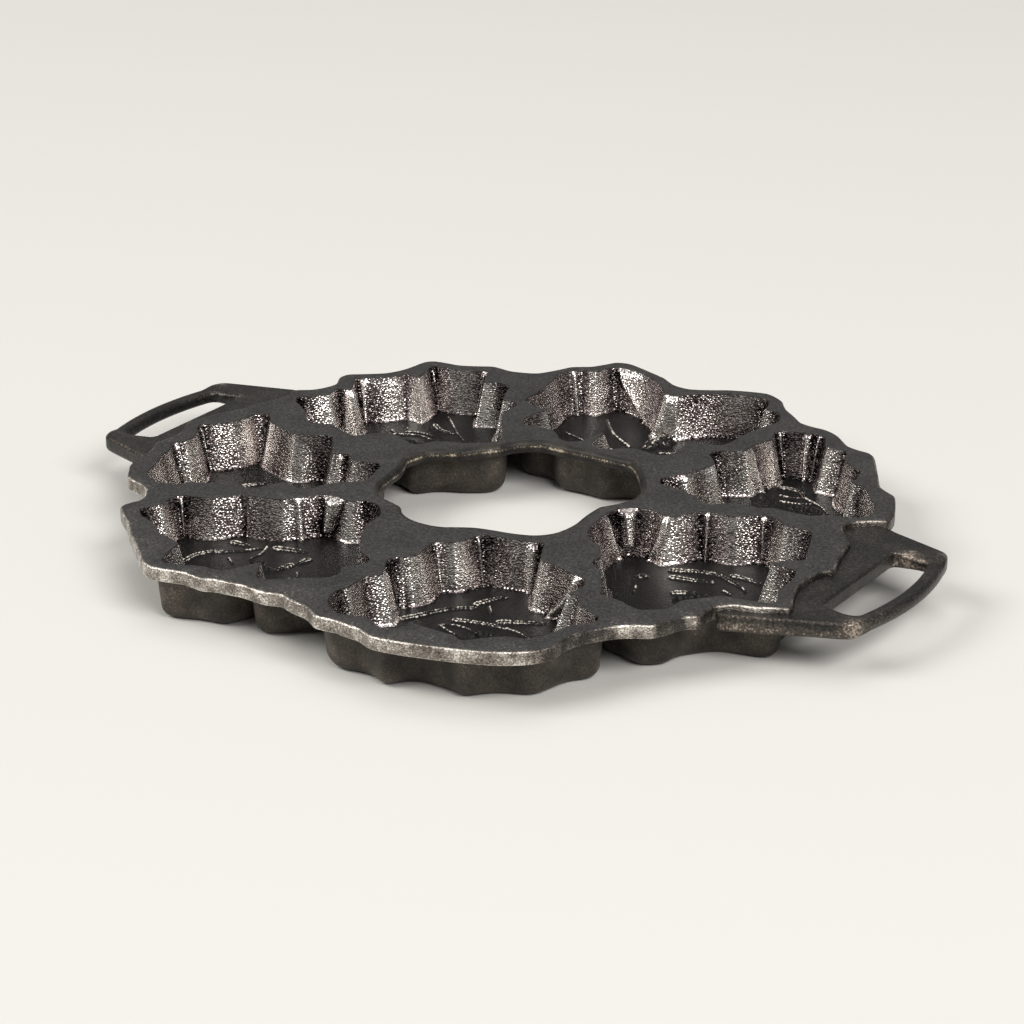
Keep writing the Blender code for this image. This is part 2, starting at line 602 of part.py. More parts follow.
def build_deck(parent):
    """The flat deck, pierced by the seven mouths and the centre hole."""
    bm = bmesh.new()
    for rings in deck_rings(bm):
        bmesh.ops.triangle_fill(bm, use_beauty=True, edges=edges_of(*rings))
    return piece("deck_plate", bm, DECK_IRON.made("deck"), parent)


def add_rib(bm, rib, height):
    """A raised line with one or two crests. It thins towards its end and is sunk a little into the floor."""
    rings = []
    for place, point in enumerate(rib.spots):
        before = rib.spots[max(place - 1, 0)]
        ahead = rib.spots[min(place + 1, len(rib.spots) - 1)] - before
        side = np.array((-ahead[1], ahead[0])) / np.linalg.norm(ahead)
        size = 1 - (1 - VEIN_TAPER) * place / (len(rib.spots) - 1)
        ring = []
        for share, level in rib.section(size):
            spot = point + side * rib.width * share * size
            ring.append(bm.verts.new((*spot, height + level)))
        rings.append(ring)
    for lower, upper in zip(rings, rings[1:]):
        add_band(bm, lower, upper)
    bm.faces.new(rings[0])
    bm.faces.new(rings[-1])


def add_berry(bm, centre, height):
    """A round berry that stands on the floor as a low dome."""
    made = bmesh.ops.create_uvsphere(bm, u_segments=BERRY_SIDES, v_segments=BERRY_RINGS, radius=BERRY_RADIUS)
    for vert in made["verts"]:
        vert.co.z *= BERRY_HEIGHT / BERRY_RADIUS
        vert.co.x += centre[0] * ROW_UNIT
        vert.co.y += centre[1] * ROW_UNIT
        vert.co.z += height


def build_cup(cup, parent):
    """A drafted cup with a rounded base, and its leaves and berries raised on its floor."""
    rings = [(contour.loop(), PAN_HEIGHT - depth) for contour, depth in cup.rings()]
    material = CUP_IRON.made(cup.name)
    obj = piece(cup.name, lofted(rings), material, parent)
    relief = bmesh.new()
    for rib in cup.ribs:
        add_rib(relief, rib, cup.floor_height())
    for centre in cup.berries:
        add_berry(relief, centre, cup.floor_height())
    combine(obj, helper(f"{cup.name}_relief", relief, material, parent), "UNION")
    return obj


class Handle:
    """A D handle at +x, or at -x with side -1: a plate against the rim's edge, and a grip round its slot."""

    def __init__(self, name, side):
        self.name = name
        self.side = side
        self.reach = WREATH_WIDTH / 2
        self.slot_start = self.reach + HANDLE_BRIDGE
        self.tip = self.slot_start + SLOT_WIDTH + GRIP_WIDTH
        self.arc_x = self.tip - GRIP_RADIUS

    def arc(self, y, inset=0.0):
        """x on the grip's outer arc, or on a line this far inside it."""
        return self.arc_x + math.sqrt((GRIP_RADIUS - inset) ** 2 - y**2)

    def plate(self):
        """The plate's outline: from its heel under the deck to its shoulder, and back round the slot."""
        shoulder = SLOT_HALF + ARM_WIDTH
        root_x = self.reach - ROOT_OVERLAP
        root_half = shoulder + (self.arc(shoulder) - root_x) * math.tan(HANDLE_FLARE)
        half = [(self.reach - HEEL_OVERLAP, root_half - HEEL_RISE), (root_x, root_half)]
        for stop in range(ARM_STOPS):
            y = shoulder - (shoulder - SLOT_HALF) * stop / (ARM_STOPS - 1)
            half.append((self.arc(y), y))
        half.append((self.slot_start, SLOT_HALF))
        whole = half + [(x, -y) for x, y in reversed(half)]
        return np.array([(x * self.side, y) for x, y in whole])

    def section(self):
        """The grip's section, as offsets outwards and up from its middle line, with rounded corners."""
        points = []
        for quarter, (out, up) in enumerate(((1, 1), (-1, 1), (-1, -1), (1, -1))):
            for step in range(ROUND_STEPS):
                angle = math.pi / 2 * (quarter + step / (ROUND_STEPS - 1))
                across = out * (GRIP_WIDTH / 2 - GRIP_EDGE) + GRIP_EDGE * math.cos(angle)
                points.append((across, up * (GRIP_THICK / 2 - GRIP_EDGE) + GRIP_EDGE * math.sin(angle)))
        return points

    def grip(self):
        """The curved bar that closes the slot: its section swept round its arc, and into both arms."""
        radius = GRIP_RADIUS - GRIP_WIDTH / 2
        sweep = math.asin((SLOT_HALF + ARM_WIDTH / 2) / radius)
        middle = PAN_HEIGHT - GRIP_DROP - GRIP_THICK / 2
        bm = bmesh.new()
        rings = []
        for station in range(GRIP_STATIONS + 1):
            angle = sweep * (2 * station / GRIP_STATIONS - 1)
            ring = []
            for across, up in self.section():
                x = self.arc_x + (radius + across) * math.cos(angle)
                y = (radius + across) * math.sin(angle)
                ring.append(bm.verts.new((self.side * x, y, middle + up)))
            rings.append(ring)
        for lower, upper in zip(rings, rings[1:]):
            add_band(bm, lower, upper)
        bm.faces.new(rings[0])
        bm.faces.new(rings[-1])
        return bm

    def build(self, parent):
        """The plate with its rounded edges, joined to the grip and cut back to the rim's edge."""
        material = HANDLE_IRON.made(self.name)
        loop = rounded(self.plate(), HANDLE_CORNER)
        top = PAN_HEIGHT - HANDLE_DROP
        bm = lofted([(loop, top), (loop, top - HANDLE_THICK)])
        weight = bm.edges.layers.float.new("bevel_weight_edge")
        for edge in bm.edges:
            heights = [vert.co.z for vert in edge.verts]
            if heights[0] == heights[1]:
                edge[weight] = 1 if heights[0] < top else HANDLE_TOP_EDGE / HANDLE_BASE_EDGE
        obj = piece(self.name, bm, material, parent)
        edge = obj.modifiers.new("rounded edges", "BEVEL")
        edge.width = HANDLE_BASE_EDGE
        edge.segments = EDGE_SEGMENTS
        edge.limit_method = "WEIGHT"
        combine(obj, helper(f"{self.name}_grip", self.grip(), material, parent), "UNION")
        seat = Contour.drawn(RIM).carried(SEAM).loop()
        room = lofted([(seat, PAN_HEIGHT * 2), (seat, -PAN_HEIGHT)])
        combine(obj, helper(f"{self.name}_seat", room, material, parent), "DIFFERENCE")
        return obj


def rounded(outline, radius):
    """A loop with each corner replaced by an arc of this radius."""
    loop = []
    for before, corner, after in zip(np.roll(outline, 1, axis=0), outline, np.roll(outline, -1, axis=0)):
        back = (before - corner) / np.linalg.norm(before - corner)
        on = (after - corner) / np.linalg.norm(after - corner)
        half = math.acos(max(-1.0, min(1.0, float(back @ on)))) / 2
        reach = radius / math.tan(half)
        middle = corner + (back + on) / np.linalg.norm(back + on) * radius / math.sin(half)
        start, end = corner + back * reach - middle, corner + on * reach - middle
        for step in range(ROUND_STEPS + 1):
            share = step / ROUND_STEPS
            lean = start * (1 - share) + end * share
            loop.append(middle + lean / np.linalg.norm(lean) * radius)
    return np.array(loop)


def main():
    for obj in list(bpy.data.objects):
        bpy.data.objects.remove(obj)
    wreath = bpy.data.objects.new("wreath_centre", None)
    bpy.context.scene.collection.objects.link(wreath)
    rim = Contour.drawn(RIM).loop()
    wreath.location = (0, -(rim[:, 1].max() + rim[:, 1].min()) / 2, 0)
    build_deck(wreath)
    for cup in CUPS:
        build_cup(cup, wreath)
    for name, side in (("handle_left", -1), ("handle_right", 1)):
        Handle(name, side).build(wreath)


main()
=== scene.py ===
"""The looks of a seasoned cast-iron wreath cake pan: holly-sprig cups and a bow cup in one scalloped deck.

Metres, +Z up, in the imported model's own frame. Outlines are clockwise from above, in millimetres from the
wreath's centre, with the rise of the arc that runs to the next row: positive where it bulges outwards.
"""

import logging
import math
from dataclasses import dataclass, field
from enum import Enum, IntEnum

import bpy
import numpy as np
from mathutils import Matrix, Vector
from mathutils.geometry import delaunay_2d_cdt


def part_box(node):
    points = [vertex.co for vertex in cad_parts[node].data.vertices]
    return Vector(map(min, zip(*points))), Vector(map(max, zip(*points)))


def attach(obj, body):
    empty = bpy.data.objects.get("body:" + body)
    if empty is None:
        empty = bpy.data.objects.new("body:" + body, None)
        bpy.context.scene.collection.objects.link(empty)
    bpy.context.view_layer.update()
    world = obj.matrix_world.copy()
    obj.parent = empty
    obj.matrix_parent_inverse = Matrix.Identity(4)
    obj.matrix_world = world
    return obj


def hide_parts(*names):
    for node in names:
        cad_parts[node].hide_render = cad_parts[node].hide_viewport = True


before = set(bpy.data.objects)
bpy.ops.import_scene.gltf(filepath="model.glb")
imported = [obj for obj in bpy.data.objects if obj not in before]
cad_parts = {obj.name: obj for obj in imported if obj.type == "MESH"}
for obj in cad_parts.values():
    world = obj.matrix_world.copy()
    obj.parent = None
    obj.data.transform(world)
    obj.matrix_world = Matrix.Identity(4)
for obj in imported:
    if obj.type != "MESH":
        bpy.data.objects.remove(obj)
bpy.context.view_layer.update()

Array = np.ndarray
Spot = tuple[float, float]
Row = tuple[float, float, float]
Finishes = tuple[bpy.types.Material, ...]

MM = 0.001
DECK_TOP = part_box("deck_plate")[1][2]
DECK_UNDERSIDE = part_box("deck_plate")[0][2]
# The flat strip kept beside each rounded edge, so that the shading turns on the edge alone.
GUARD = 0.16 * MM
SHARP_EDGE = math.radians(50)
# The triangulation keeps only the triangles inside its loops, and corners this close would be one.
TRIANGLES_INSIDE = 1
SAME_SPOT = 1e-5

log = logging.getLogger("wreath_pan")

BOW_RIGHT = (
    (3, 134.4, 4.6), (36.5, 154, 0.5), (41.5, 151.3, 0), (44.8, 142, 0.3), (51, 141.3, 1),
    (57.3, 129.5, -0.8), (52, 104, 0.3), (51.8, 95.5, 1.5), (46, 89.8, 0.2), (36.4, 86.8, 0.3),
    (38, 79, 0.5), (37.8, 71.5, 1.5), (32, 66.6, -0.3), (20.5, 67.4, -0.6), (13, 61, 1.6), (4, 61, 0.5),
    (1.3, 69, 0), (0.9, 76.5, 0),
)
UPPER_LEFT = (
    (-138.2, 42, -0.8), (-129, 51, 0.3), (-130.3, 59.5, 0.3), (-124, 60.8, -0.3), (-131, 72.5, 0.6),
    (-131, 76.3, -2.2), (-116, 91.8, 0.5), (-108.6, 91.8, -0.4), (-111.2, 104, 0.6), (-111, 108.8, -1.8),
    (-88.5, 115.2, 0.5), (-85.6, 114.5, -0.4), (-79.6, 102.5, -0.2), (-74.5, 105.6, 0.5), (-67.5, 105, 0.3),
    (-64.8, 99, -0.2), (-60, 88.3, -0.2), (-55, 88.8, 0.8), (-50.2, 84, 0.2), (-51, 76, -0.5),
    (-46, 66, -0.2), (-34, 49, 0.8), (-33.3, 42, 0.6), (-38, 37, 0), (-44, 33, -0.3), (-56.5, 27, 1.2),
    (-62, 19.8, 0.2), (-71, 24.5, -1.2), (-82.5, 22.5, -0.2), (-87, 15.5, 1), (-94, 15.5, 0.2),
    (-104, 20, -0.2), (-111.5, 17.8, 0.6), (-117, 18, 0.3), (-122, 24.8, -0.3), (-135, 34.5, 0.3),
    (-137.8, 38, 0.5),
)
LEFT = (
    (-141.5, 9, 0.5), (-139.5, 13.5, 0.5), (-136, 15.3, 0.2), (-130, 8.5, -0.4), (-112, 2, -0.5),
    (-101, 8, 0.8), (-96, 8.5, -0.2), (-91.5, 3, -0.3), (-84, -7, 0.6), (-78, -5, 0), (-72, -9, -0.4),
    (-62, -6.5, 0.6), (-58, -9, 0.3), (-54, -25, 0.8), (-57, -30.5, -0.6), (-64, -36.5, -0.5),
    (-67, -46, 0.8), (-73, -48, -0.2), (-81, -46.3, -0.6), (-85.5, -56, 0.8), (-93, -60, 0.2),
    (-101, -58, -0.5), (-107, -65, 0.5), (-113.5, -66.7, 0.2), (-116.5, -71.5, 1), (-126, -75, 0.8),
    (-136, -69, -0.6), (-144, -49, 0.1), (-144.3, -45, -0.4), (-149, -36.5, 0.8), (-146, -30.5, 0.1),
    (-146, -25, -0.3), (-153, -13.5, 1), (-150.5, -8.5, -0.5), (-143.5, 0, -0.4),
)
LOWER_LEFT = (
    (-112.3, -102, 0.6), (-108.3, -93, 0.3), (-109, -83.5, 0.6), (-105, -79.5, -0.3), (-95.5, -76.5, -0.6),
    (-88, -66.5, 0.5), (-80, -65, -0.2), (-70, -61.5, -0.3), (-60, -49, 0.8), (-52, -47, -0.2),
    (-46, -48, -0.3), (-41, -43.8, 0.6), (-34, -44.8, 0.8), (-26.2, -54, 0.2), (-25, -66, -0.6),
    (-12, -88, -0.2), (-5, -91.5, 0.8), (-2, -97, 0.6), (-7.5, -105.5, -0.3), (-5, -110, 0.6),
    (-6, -117, 0.3), (-16, -124, 0.2), (-25, -132, 0.5), (-30, -131.5, 0.2), (-37, -119, -0.2),
    (-43, -132.8, 0.2), (-46, -134.6, -0.2), (-56, -135.7, 0.3), (-66, -140, 0.4), (-71, -139.5, 0.4),
    (-76, -122, -0.6), (-88, -118.5, 0.3), (-96, -112, -0.2), (-106, -108, 0.6),
)
LOWER_RIGHT = (
    (4, -86, 0.4), (7, -84, -0.3), (10, -77, 0.3), (8, -65.5, 0.5), (15, -60.5, -0.2), (18, -53, 0.3),
    (20, -48.2, 0.5), (26, -46, -0.8), (44, -42, 0.6), (47, -44.5, -0.4), (54, -57, -0.2), (61, -57.5, -0.6),
    (77, -63, 0.6), (81.5, -69, 0.3), (80, -78.5, -0.2), (84, -78, 0.3), (90, -86, -0.3), (101, -90.5, 1.2),
    (102, -98, 0.1), (97, -102.5, -0.2), (93.5, -118.5, 0.6), (88, -123.5, -0.5), (79, -127.5, -0.2),
    (71, -137, 0.5), (66, -135, 0.1), (48, -134.5, -0.3), (41, -145, 0.5), (33, -141, -0.3),
    (27, -140.2, 0.5), (16, -142.2, 0.6), (7, -135, 0.3), (4, -125, 0.5), (6, -120, -0.2), (5, -109, 0.3),
    (10, -103, 0), (3.5, -91, 0.6),
)
RIGHT = (
    (50, -2, 0.3), (52, 7, 0.6), (59, 11.2, 0.5), (66.5, 11.5, -0.2), (72, 9, -0.6), (80, 21, 0.5),
    (87, 23.5, -0.2), (95, 24.5, -0.3), (103, 31.5, 0.6), (109, 32.8, -0.2), (117, 27.5, 0.1),
    (126, 28.2, 0.8), (131, 24, -0.2), (140.8, 1, 0.8), (137, -3, -0.1), (131, -10, 0.1), (138, -10.2, 0.1),
    (142, -10.6, 0.6), (145.5, -19, 0.2), (146.5, -32, -0.3), (151, -40.5, 0.6), (148, -45, 0.2),
    (131, -48.5, -0.3), (126, -54, -0.2), (120, -61, -0.2), (119.5, -70, 0.6), (111, -77, 0.6),
    (102, -74, -0.1), (91, -73, -0.5), (80, -55, -0.1), (72, -48, 0.6), (72, -42, -0.3), (65, -32, 0.4),
    (57, -27, 0.6), (52, -17, 0.1),
)
UPPER_RIGHT = (
    (62, 118.5, 0.3), (65, 122.5, 0.2), (78, 126.3, 0.4), (83.5, 124.5, 0.1), (89.5, 115.2, -0.2),
    (98.5, 115.5, 0.2), (104, 105, -0.3), (110, 99.7, 0.1), (115, 97.5, 0.3), (118, 84, -0.1),
    (123, 83, 0.4), (131, 74, -0.1), (137, 67, 0.5), (140.7, 56, 0.6), (137, 49.8, 0.1), (126, 46, -0.3),
    (121, 41.5, 0.2), (104, 40.7, -0.2), (99, 37.8, 0.1), (88, 37, -0.1), (80.5, 30.2, 0.6), (75, 32, 0.1),
    (65, 37, -0.5), (52, 38.5, 0.6), (48.3, 45, 0.3), (54, 53, -0.3), (58.5, 67.5, -0.1), (59, 71.5, -0.3),
    (52, 79, 0.6), (51.2, 85, 0.4), (58, 88, 0.2), (62, 92.5, 0.2), (62.7, 101, 0.1), (65.2, 109.5, -0.2),
)
CENTRE_HOLE = (
    (-28, 38, 0.4), (-24.5, 45.5, 0.8), (-16, 52.2, 0), (28, 52.8, 0.6), (38, 43, 0.4), (46.5, 31.5, 0.8),
    (50, 19, 1), (43, 3.5, -0.5), (44, -14, 0.8), (43, -29, 1), (36, -37, 0.4), (24, -40.2, -0.2),
    (13, -42.5, -0.2), (2, -49, 1), (-12, -49.8, 1.5), (-25, -40.5, -0.2), (-38, -36.5, 0.8),
    (-46, -25, 0.2), (-49, -7, -0.3), (-53.5, 4, 1), (-50, 17, 0.8), (-39, 24, 0.4),
)
RIM = (
    (-146, 46.5, 0.2), (-139.5, 51, -0.2), (-136, 57, -0.1), (-134.5, 63, -0.2), (-138.5, 70.5, 0.4),
    (-138, 77, -0.2), (-124.5, 87.5, -0.8), (-119.5, 100, 0), (-118.5, 109, 1.5), (-112, 114.5, 0.1),
    (-102, 115.2, -0.3), (-88, 122.8, 0.2), (-78, 121.5, -0.4), (-66, 125.5, -0.6), (-58, 141.5, 0.1),
    (-50, 147, -0.2), (-44, 158, 1), (-35, 160, 0.2), (-13, 152, -0.2), (-5, 146.5, -0.5), (4, 145.8, -0.3),
    (18, 154, 0.6), (36, 160, 0.6), (47, 154, -0.2), (53, 146, 0.3), (66, 135, -0.6), (78, 133.5, 0.6),
    (88, 129, 0), (97, 120.5, -0.4), (108, 118.7, 0.6), (114, 113, 0.1), (130, 86, -0.3), (140, 80, 0.3),
    (149, 62, 0.2), (150.5, 54, 0.5), (147.5, 51.5, -0.6), (137.5, 43.3, 0.3), (136.6, 40.5, -0.3),
    (140, 34.5, -0.3), (147, 26.5, 0.5), (148.8, 20, -0.4), (155.3, -2, 0.3), (155, -5, 0.2),
    (152.2, -6.5, -0.6), (151, -24, -0.6), (159.3, -44, 0.5), (157, -46.8, -0.3), (148, -51.5, 0.1),
    (138, -54.5, 0.5), (133.4, -59.5, -0.3), (134, -70, 0.4), (130, -73, -0.4), (126, -83, 0.2),
    (123, -88, 0.2), (117.5, -91, -0.2), (112, -95.5, -0.3), (103.5, -108.5, 0.4), (102.2, -114, -0.1),
    (103, -122, 0.5), (98.5, -131, 0.8), (85, -141, 0.6), (60, -149.7, 0.3), (45, -153.2, 0.4),
    (38, -153, -0.3), (30, -149.8, 0.5), (21, -148.8, 0.2), (11, -149.8, -0.6), (1, -144, 0.8),
    (-11, -140.3, 0.5), (-19.5, -143, -0.2), (-31, -142, 0.4), (-41, -143.2, -0.1), (-45.5, -145.8, -0.1),
    (-57, -144.5, 0.4), (-70, -147.5, 1), (-80, -141.5, 0), (-95, -128.5, 0.2), (-108, -116, 0.2),
    (-117.5, -108.5, 0.6), (-121.3, -103.3, 0.4), (-118.5, -95, -0.3), (-120.2, -89.5, 0),
    (-123.5, -84.7, 0.3), (-129, -81.3, 0), (-137.5, -79.5, 0.4), (-142.5, -74, 0), (-147.5, -67, 0.3),
    (-150.5, -56, 0), (-151.5, -48, 0), (-155.5, -40, 0.3), (-153.5, -28, -0.3), (-159.5, -14, 0.4),
    (-159.5, -8, 0), (-155, 5, 0), (-150.5, 15, 0.2), (-150, 24, 0), (-146, 30, 0), (-144, 37, -0.4),
)


@dataclass(frozen=True)
class Tracing:
    """How finely an outline is followed, how far a kink is eased, and what counts as a ridge in a wall."""

    step: float = 0.42 * MM
    easing: float = 0.36 * MM
    rim_easing: float = 1.2 * MM
    rim_inset: float = 0.25 * MM
    move: float = 0.2 * MM
    move_easing: float = 0.25 * MM
    spread: float = 5.0
    ridge_window: float = 1.6 * MM
    ridge_turn: float = math.radians(38)
    ridge_onset: float = 0.5
    least_mitre: float = 0.6
    # How wall ridges are painted lighter and hollows darker: painted highlight and painted shade.
    ridge_light_points: int = 2
    ridge_light_onset: float = 0.4
    ridge_light_reach: float = 4 * MM
    ridge_light_rise: float = 1.3 * MM


TRACING = Tracing()


def mirrored(rows: tuple[Row, ...]) -> tuple[Row, ...]:
    """Closes a half outline with its mirror image.

    Args:
        rows: The rows at +x.

    Returns:
        Those rows, followed by the same ones at -x in reverse order.
    """
    rises = [rise for _, _, rise in rows]
    back = [(-x, y, rises[place - 1] if place else 0) for place, (x, y, _) in enumerate(rows)]
    return tuple(rows) + tuple(reversed(back))


def tangents(ring: Array) -> Array:
    """The direction of a closed ring at each point: the chord between its neighbours, made one long."""
    chords = np.roll(ring, -1, axis=0) - np.roll(ring, 1, axis=0)
    return chords / np.linalg.norm(chords, axis=-1, keepdims=True)


def outward(along: Array) -> Array:
    """The left-hand side of each direction, which faces out of a clockwise loop."""
    return np.column_stack((-along[:, 1], along[:, 0]))


def turning(along: Array, reach: int) -> Array:
    """How far a ring turns inwards round each point, by the sine and cosine between two of its directions.

    Args:
        along: The ring's direction at each point.
        reach: How many points before and after it the two directions are taken.

    Returns:
        An angle for each point.
    """
    before, after = np.roll(along, reach, axis=0), np.roll(along, -reach, axis=0)
    return np.arctan2(before[:, 0] * after[:, 1] - before[:, 1] * after[:, 0], (before * after).sum(axis=1))


def reaches(points: Array) -> Array:
    """How far along a line each of its points lies."""
    return np.concatenate(((0.0,), np.cumsum(np.linalg.norm(np.diff(points, axis=0), axis=1))))


def nearest(points: Array, spot: Spot) -> int:
    """The number of the point that lies nearest to a spot given in millimetres."""
    return int(np.argmin(np.linalg.norm(points - np.array(spot) * MM, axis=1)))


def wave(share: Array) -> Array:
    """A cosine wave that falls from 1 at 0 to 0 at 1."""
    return 0.5 + 0.5 * np.cos(math.pi * share)


def quarter(steps: int) -> list[tuple[float, float, float]]:
    """Stops round a quarter circle of radius 1, from its flat side to its upright one.

    Args:
        steps: How many steps the quarter takes.

    Returns:
        Each stop's angle, its distance from the upright side and its distance from the flat one.
    """
    angles = np.linspace(0, math.pi / 2, steps + 1)
    return [(angle, 1 - math.sin(angle), 1 - math.cos(angle)) for angle in angles]


def even_grid(points: Array, step: float) -> Array:
    """Fills the box round some points with a square grid.

    Args:
        points: The points.
        step: The distance between the grid's lines.

    Returns:
        The grid's points.
    """
    low, high = points.min(axis=0), points.max(axis=0)
    across = [np.arange(low[axis], high[axis], step) for axis in (0, 1)]
    return np.stack(np.meshgrid(*across), axis=-1).reshape(-1, 2)


def eased(values: Array, spacing: float, width: float) -> Array:
    """Values round a loop, blurred by a bell curve of this width.

    Each wave of the values' Fourier series is damped by exp(-(wave number x width)^2 / 2).

    Args:
        values: Real or complex values at even spacing round the loop.
        spacing: The distance between two of them.
        width: The bell curve's width, in the same unit.

    Returns:
        The blurred values, as complex numbers where the input was complex.
    """
    waves = np.fft.fftfreq(len(values), spacing) * math.tau * width
    blurred = np.fft.ifft(np.fft.fft(values) * np.exp(-0.5 * waves**2))
    return blurred if np.iscomplexobj(values) else blurred.real


class Contour:
    """A closed clockwise line of evenly spaced points, with marks that keep to their spots as it moves."""

    def __init__(self, points: Array, marks: Array) -> None:
        """Keeps the points, and the places along them of the marks, counted in points."""
        self.points = points
        self.marks = marks

    @classmethod
    def marked(cls, points: Array) -> "Contour":
        """A contour with a mark on each of its points."""
        return cls(points, np.arange(len(points), dtype=float))

    @classmethod
    def drawn(cls, rows: tuple[Row, ...]) -> "Contour":
        """The contour of an outline, with a mark on each of its points.

        A stretch is its chord plus 4 rise t (1 - t) to its outer side, as t runs from 0 to 1.

        Args:
            rows: Corners in millimetres, each with the rise of the stretch that follows it.

        Returns:
            The contour in metres.
        """
        spots = np.array(rows, float) * MM
        stretches = []
        for spot, after in zip(spots, np.roll(spots, -1, axis=0)):
            chord = after[:2] - spot[:2]
            length = float(np.hypot(*chord))
            shares = np.linspace(0, 1, max(2, round(length / TRACING.step)), endpoint=False)[:, None]
            side = np.array((-chord[1], chord[0])) / length
            stretches.append(spot[:2] + shares * chord + 4 * spot[2] * shares * (1 - shares) * side)
        return cls.marked(cls.marked(np.concatenate(stretches)).evened(TRACING.easing).points)

    def evened(self, easing: float) -> "Contour":
        """Spaces the points evenly and eases the kinks.

        Args:
            easing: The width over which a kink is eased.

        Returns:
            The same line with new points, and its marks at their old spots.
        """
        closed = np.vstack((self.points, self.points[:1]))
        reach = reaches(closed)
        count = round(reach[-1] / TRACING.step)
        stops = np.arange(count) * reach[-1] / count
        line = np.interp(stops, reach, closed[:, 0]) + 1j * np.interp(stops, reach, closed[:, 1])
        line = eased(line, reach[-1] / count, easing)
        marks = np.interp(self.marks, np.arange(len(reach)), reach) * count / reach[-1]
        return Contour(np.column_stack((line.real, line.imag)), marks)

    def carried(self, distance: float) -> "Contour":
        """Moves the line sideways in small steps, each of which is eased.

        Args:
            distance: How far it goes outwards, or inwards where it is negative.

        Returns:
            The moved line with the same marks.
        """
        moved = self
        steps = math.ceil(abs(distance) / TRACING.move)
        for _ in range(steps):
            shifted = moved.points + outward(tangents(moved.points)) * distance / steps
            moved = Contour(shifted, moved.marks).evened(TRACING.move_easing)
        return moved

    def bridged(self, first: Spot, last: Spot) -> "Contour":
        """Draws the stretch between two spots straight.

        Args:
            first: The spot where the stretch starts, in millimetres.
            last: The spot where it ends.

        Returns:
            The line with a straight stretch.
        """
        start, end = nearest(self.points, first), nearest(self.points, last)
        points = self.points.copy()
        shares = np.linspace(0, 1, end - start + 1)[:, None]
        points[start : end + 1] = points[start] * (1 - shares) + points[end] * shares
        return Contour(points, self.marks).evened(TRACING.easing)

    def ring(self) -> Array:
        """Spreads marks that ran together along the line.

        Returns:
            One point for each mark.
        """
        count = len(self.points)
        gaps = eased(np.diff(self.marks, append=self.marks[0] + count), 1.0, TRACING.spread)
        places = np.concatenate(((0.0,), np.cumsum(gaps)[:-1]))
        places += (self.marks - places).mean()
        whole = np.vstack((self.points, self.points[:1]))
        return np.column_stack([np.interp(places % count, np.arange(count + 1), line) for line in whole.T])


def ridged(line: Contour, moved: Array, distance: float) -> Array:
    """A moved ring whose ridges, where two lobes meet and point inwards, keep their edge.

    A ridge's point goes by distance x (n1 + n2) / (1 + n1.n2), where n1 and n2 face out of its two flanks.

    Args:
        line: The line before it was moved.
        moved: Its ring after the move.
        distance: How far it was carried outwards, negative inwards.

    Returns:
        The ring with its ridges drawn out.
    """
    ring = line.ring()
    along = tangents(ring)
    reach = max(1, round(TRACING.ridge_window / TRACING.step))
    weight = np.clip(turning(along, reach) / TRACING.ridge_turn - TRACING.ridge_onset, 0, 1)
    weight = np.clip(eased(weight, 1.0, reach / 2), 0, 1)
    before, after = outward(np.roll(along, reach, axis=0)), outward(np.roll(along, -reach, axis=0))
    spread = np.maximum(TRACING.least_mitre, 1 + (before * after).sum(axis=1))
    mitre = ring + distance * (before + after) / spread[:, None]
    return moved + weight[:, None] * (mitre - moved)


def ridge_light_and_shade(ring: Array) -> Array:
    """How much painted light each point of a wall's ring takes.

    A point is on a ridge where the ring turns sharply towards the cup's inside, or where it stands inside
    the same ring blurred by a wide bell curve: there it is painted lighter as painted highlight. Outside it
    lies a hollow, which is painted darker as painted shade.

    Args:
        ring: The wall's ring.

    Returns:
        A share for each point, from 1 on a ridge to -1 in a hollow.
    """
    along = tangents(ring)
    spacing = np.linalg.norm(np.roll(ring, -1, axis=0) - ring, axis=1).mean()
    broad = eased(ring[:, 0] + 1j * ring[:, 1], spacing, TRACING.ridge_light_reach)
    stands = ((np.column_stack((broad.real, broad.imag)) - ring) * outward(along)).sum(axis=1)
    turn = np.clip(turning(along, TRACING.ridge_light_points) / TRACING.ridge_turn - TRACING.ridge_light_onset, 0, 1)
    return np.clip(turn + stands / TRACING.ridge_light_rise, -1, 1)


def inside(points: Array, loop: Array) -> Array:
    """Finds the points inside a loop: those whose ray towards +x crosses it an odd number of times.

    Args:
        points: The points to test.
        loop: The loop's own points.

    Returns:
        True for each point that lies inside.
    """
    odd = np.zeros(len(points), bool)
    x, y = points[:, 0], points[:, 1]
    for start, end in zip(loop, np.roll(loop, -1, axis=0)):
        spans = (start[1] > y) != (end[1] > y)
        if spans.any():
            slope = (end[0] - start[0]) / (end[1] - start[1])
            odd[spans] ^= x[spans] < start[0] + (y[spans] - start[1]) * slope
    return odd


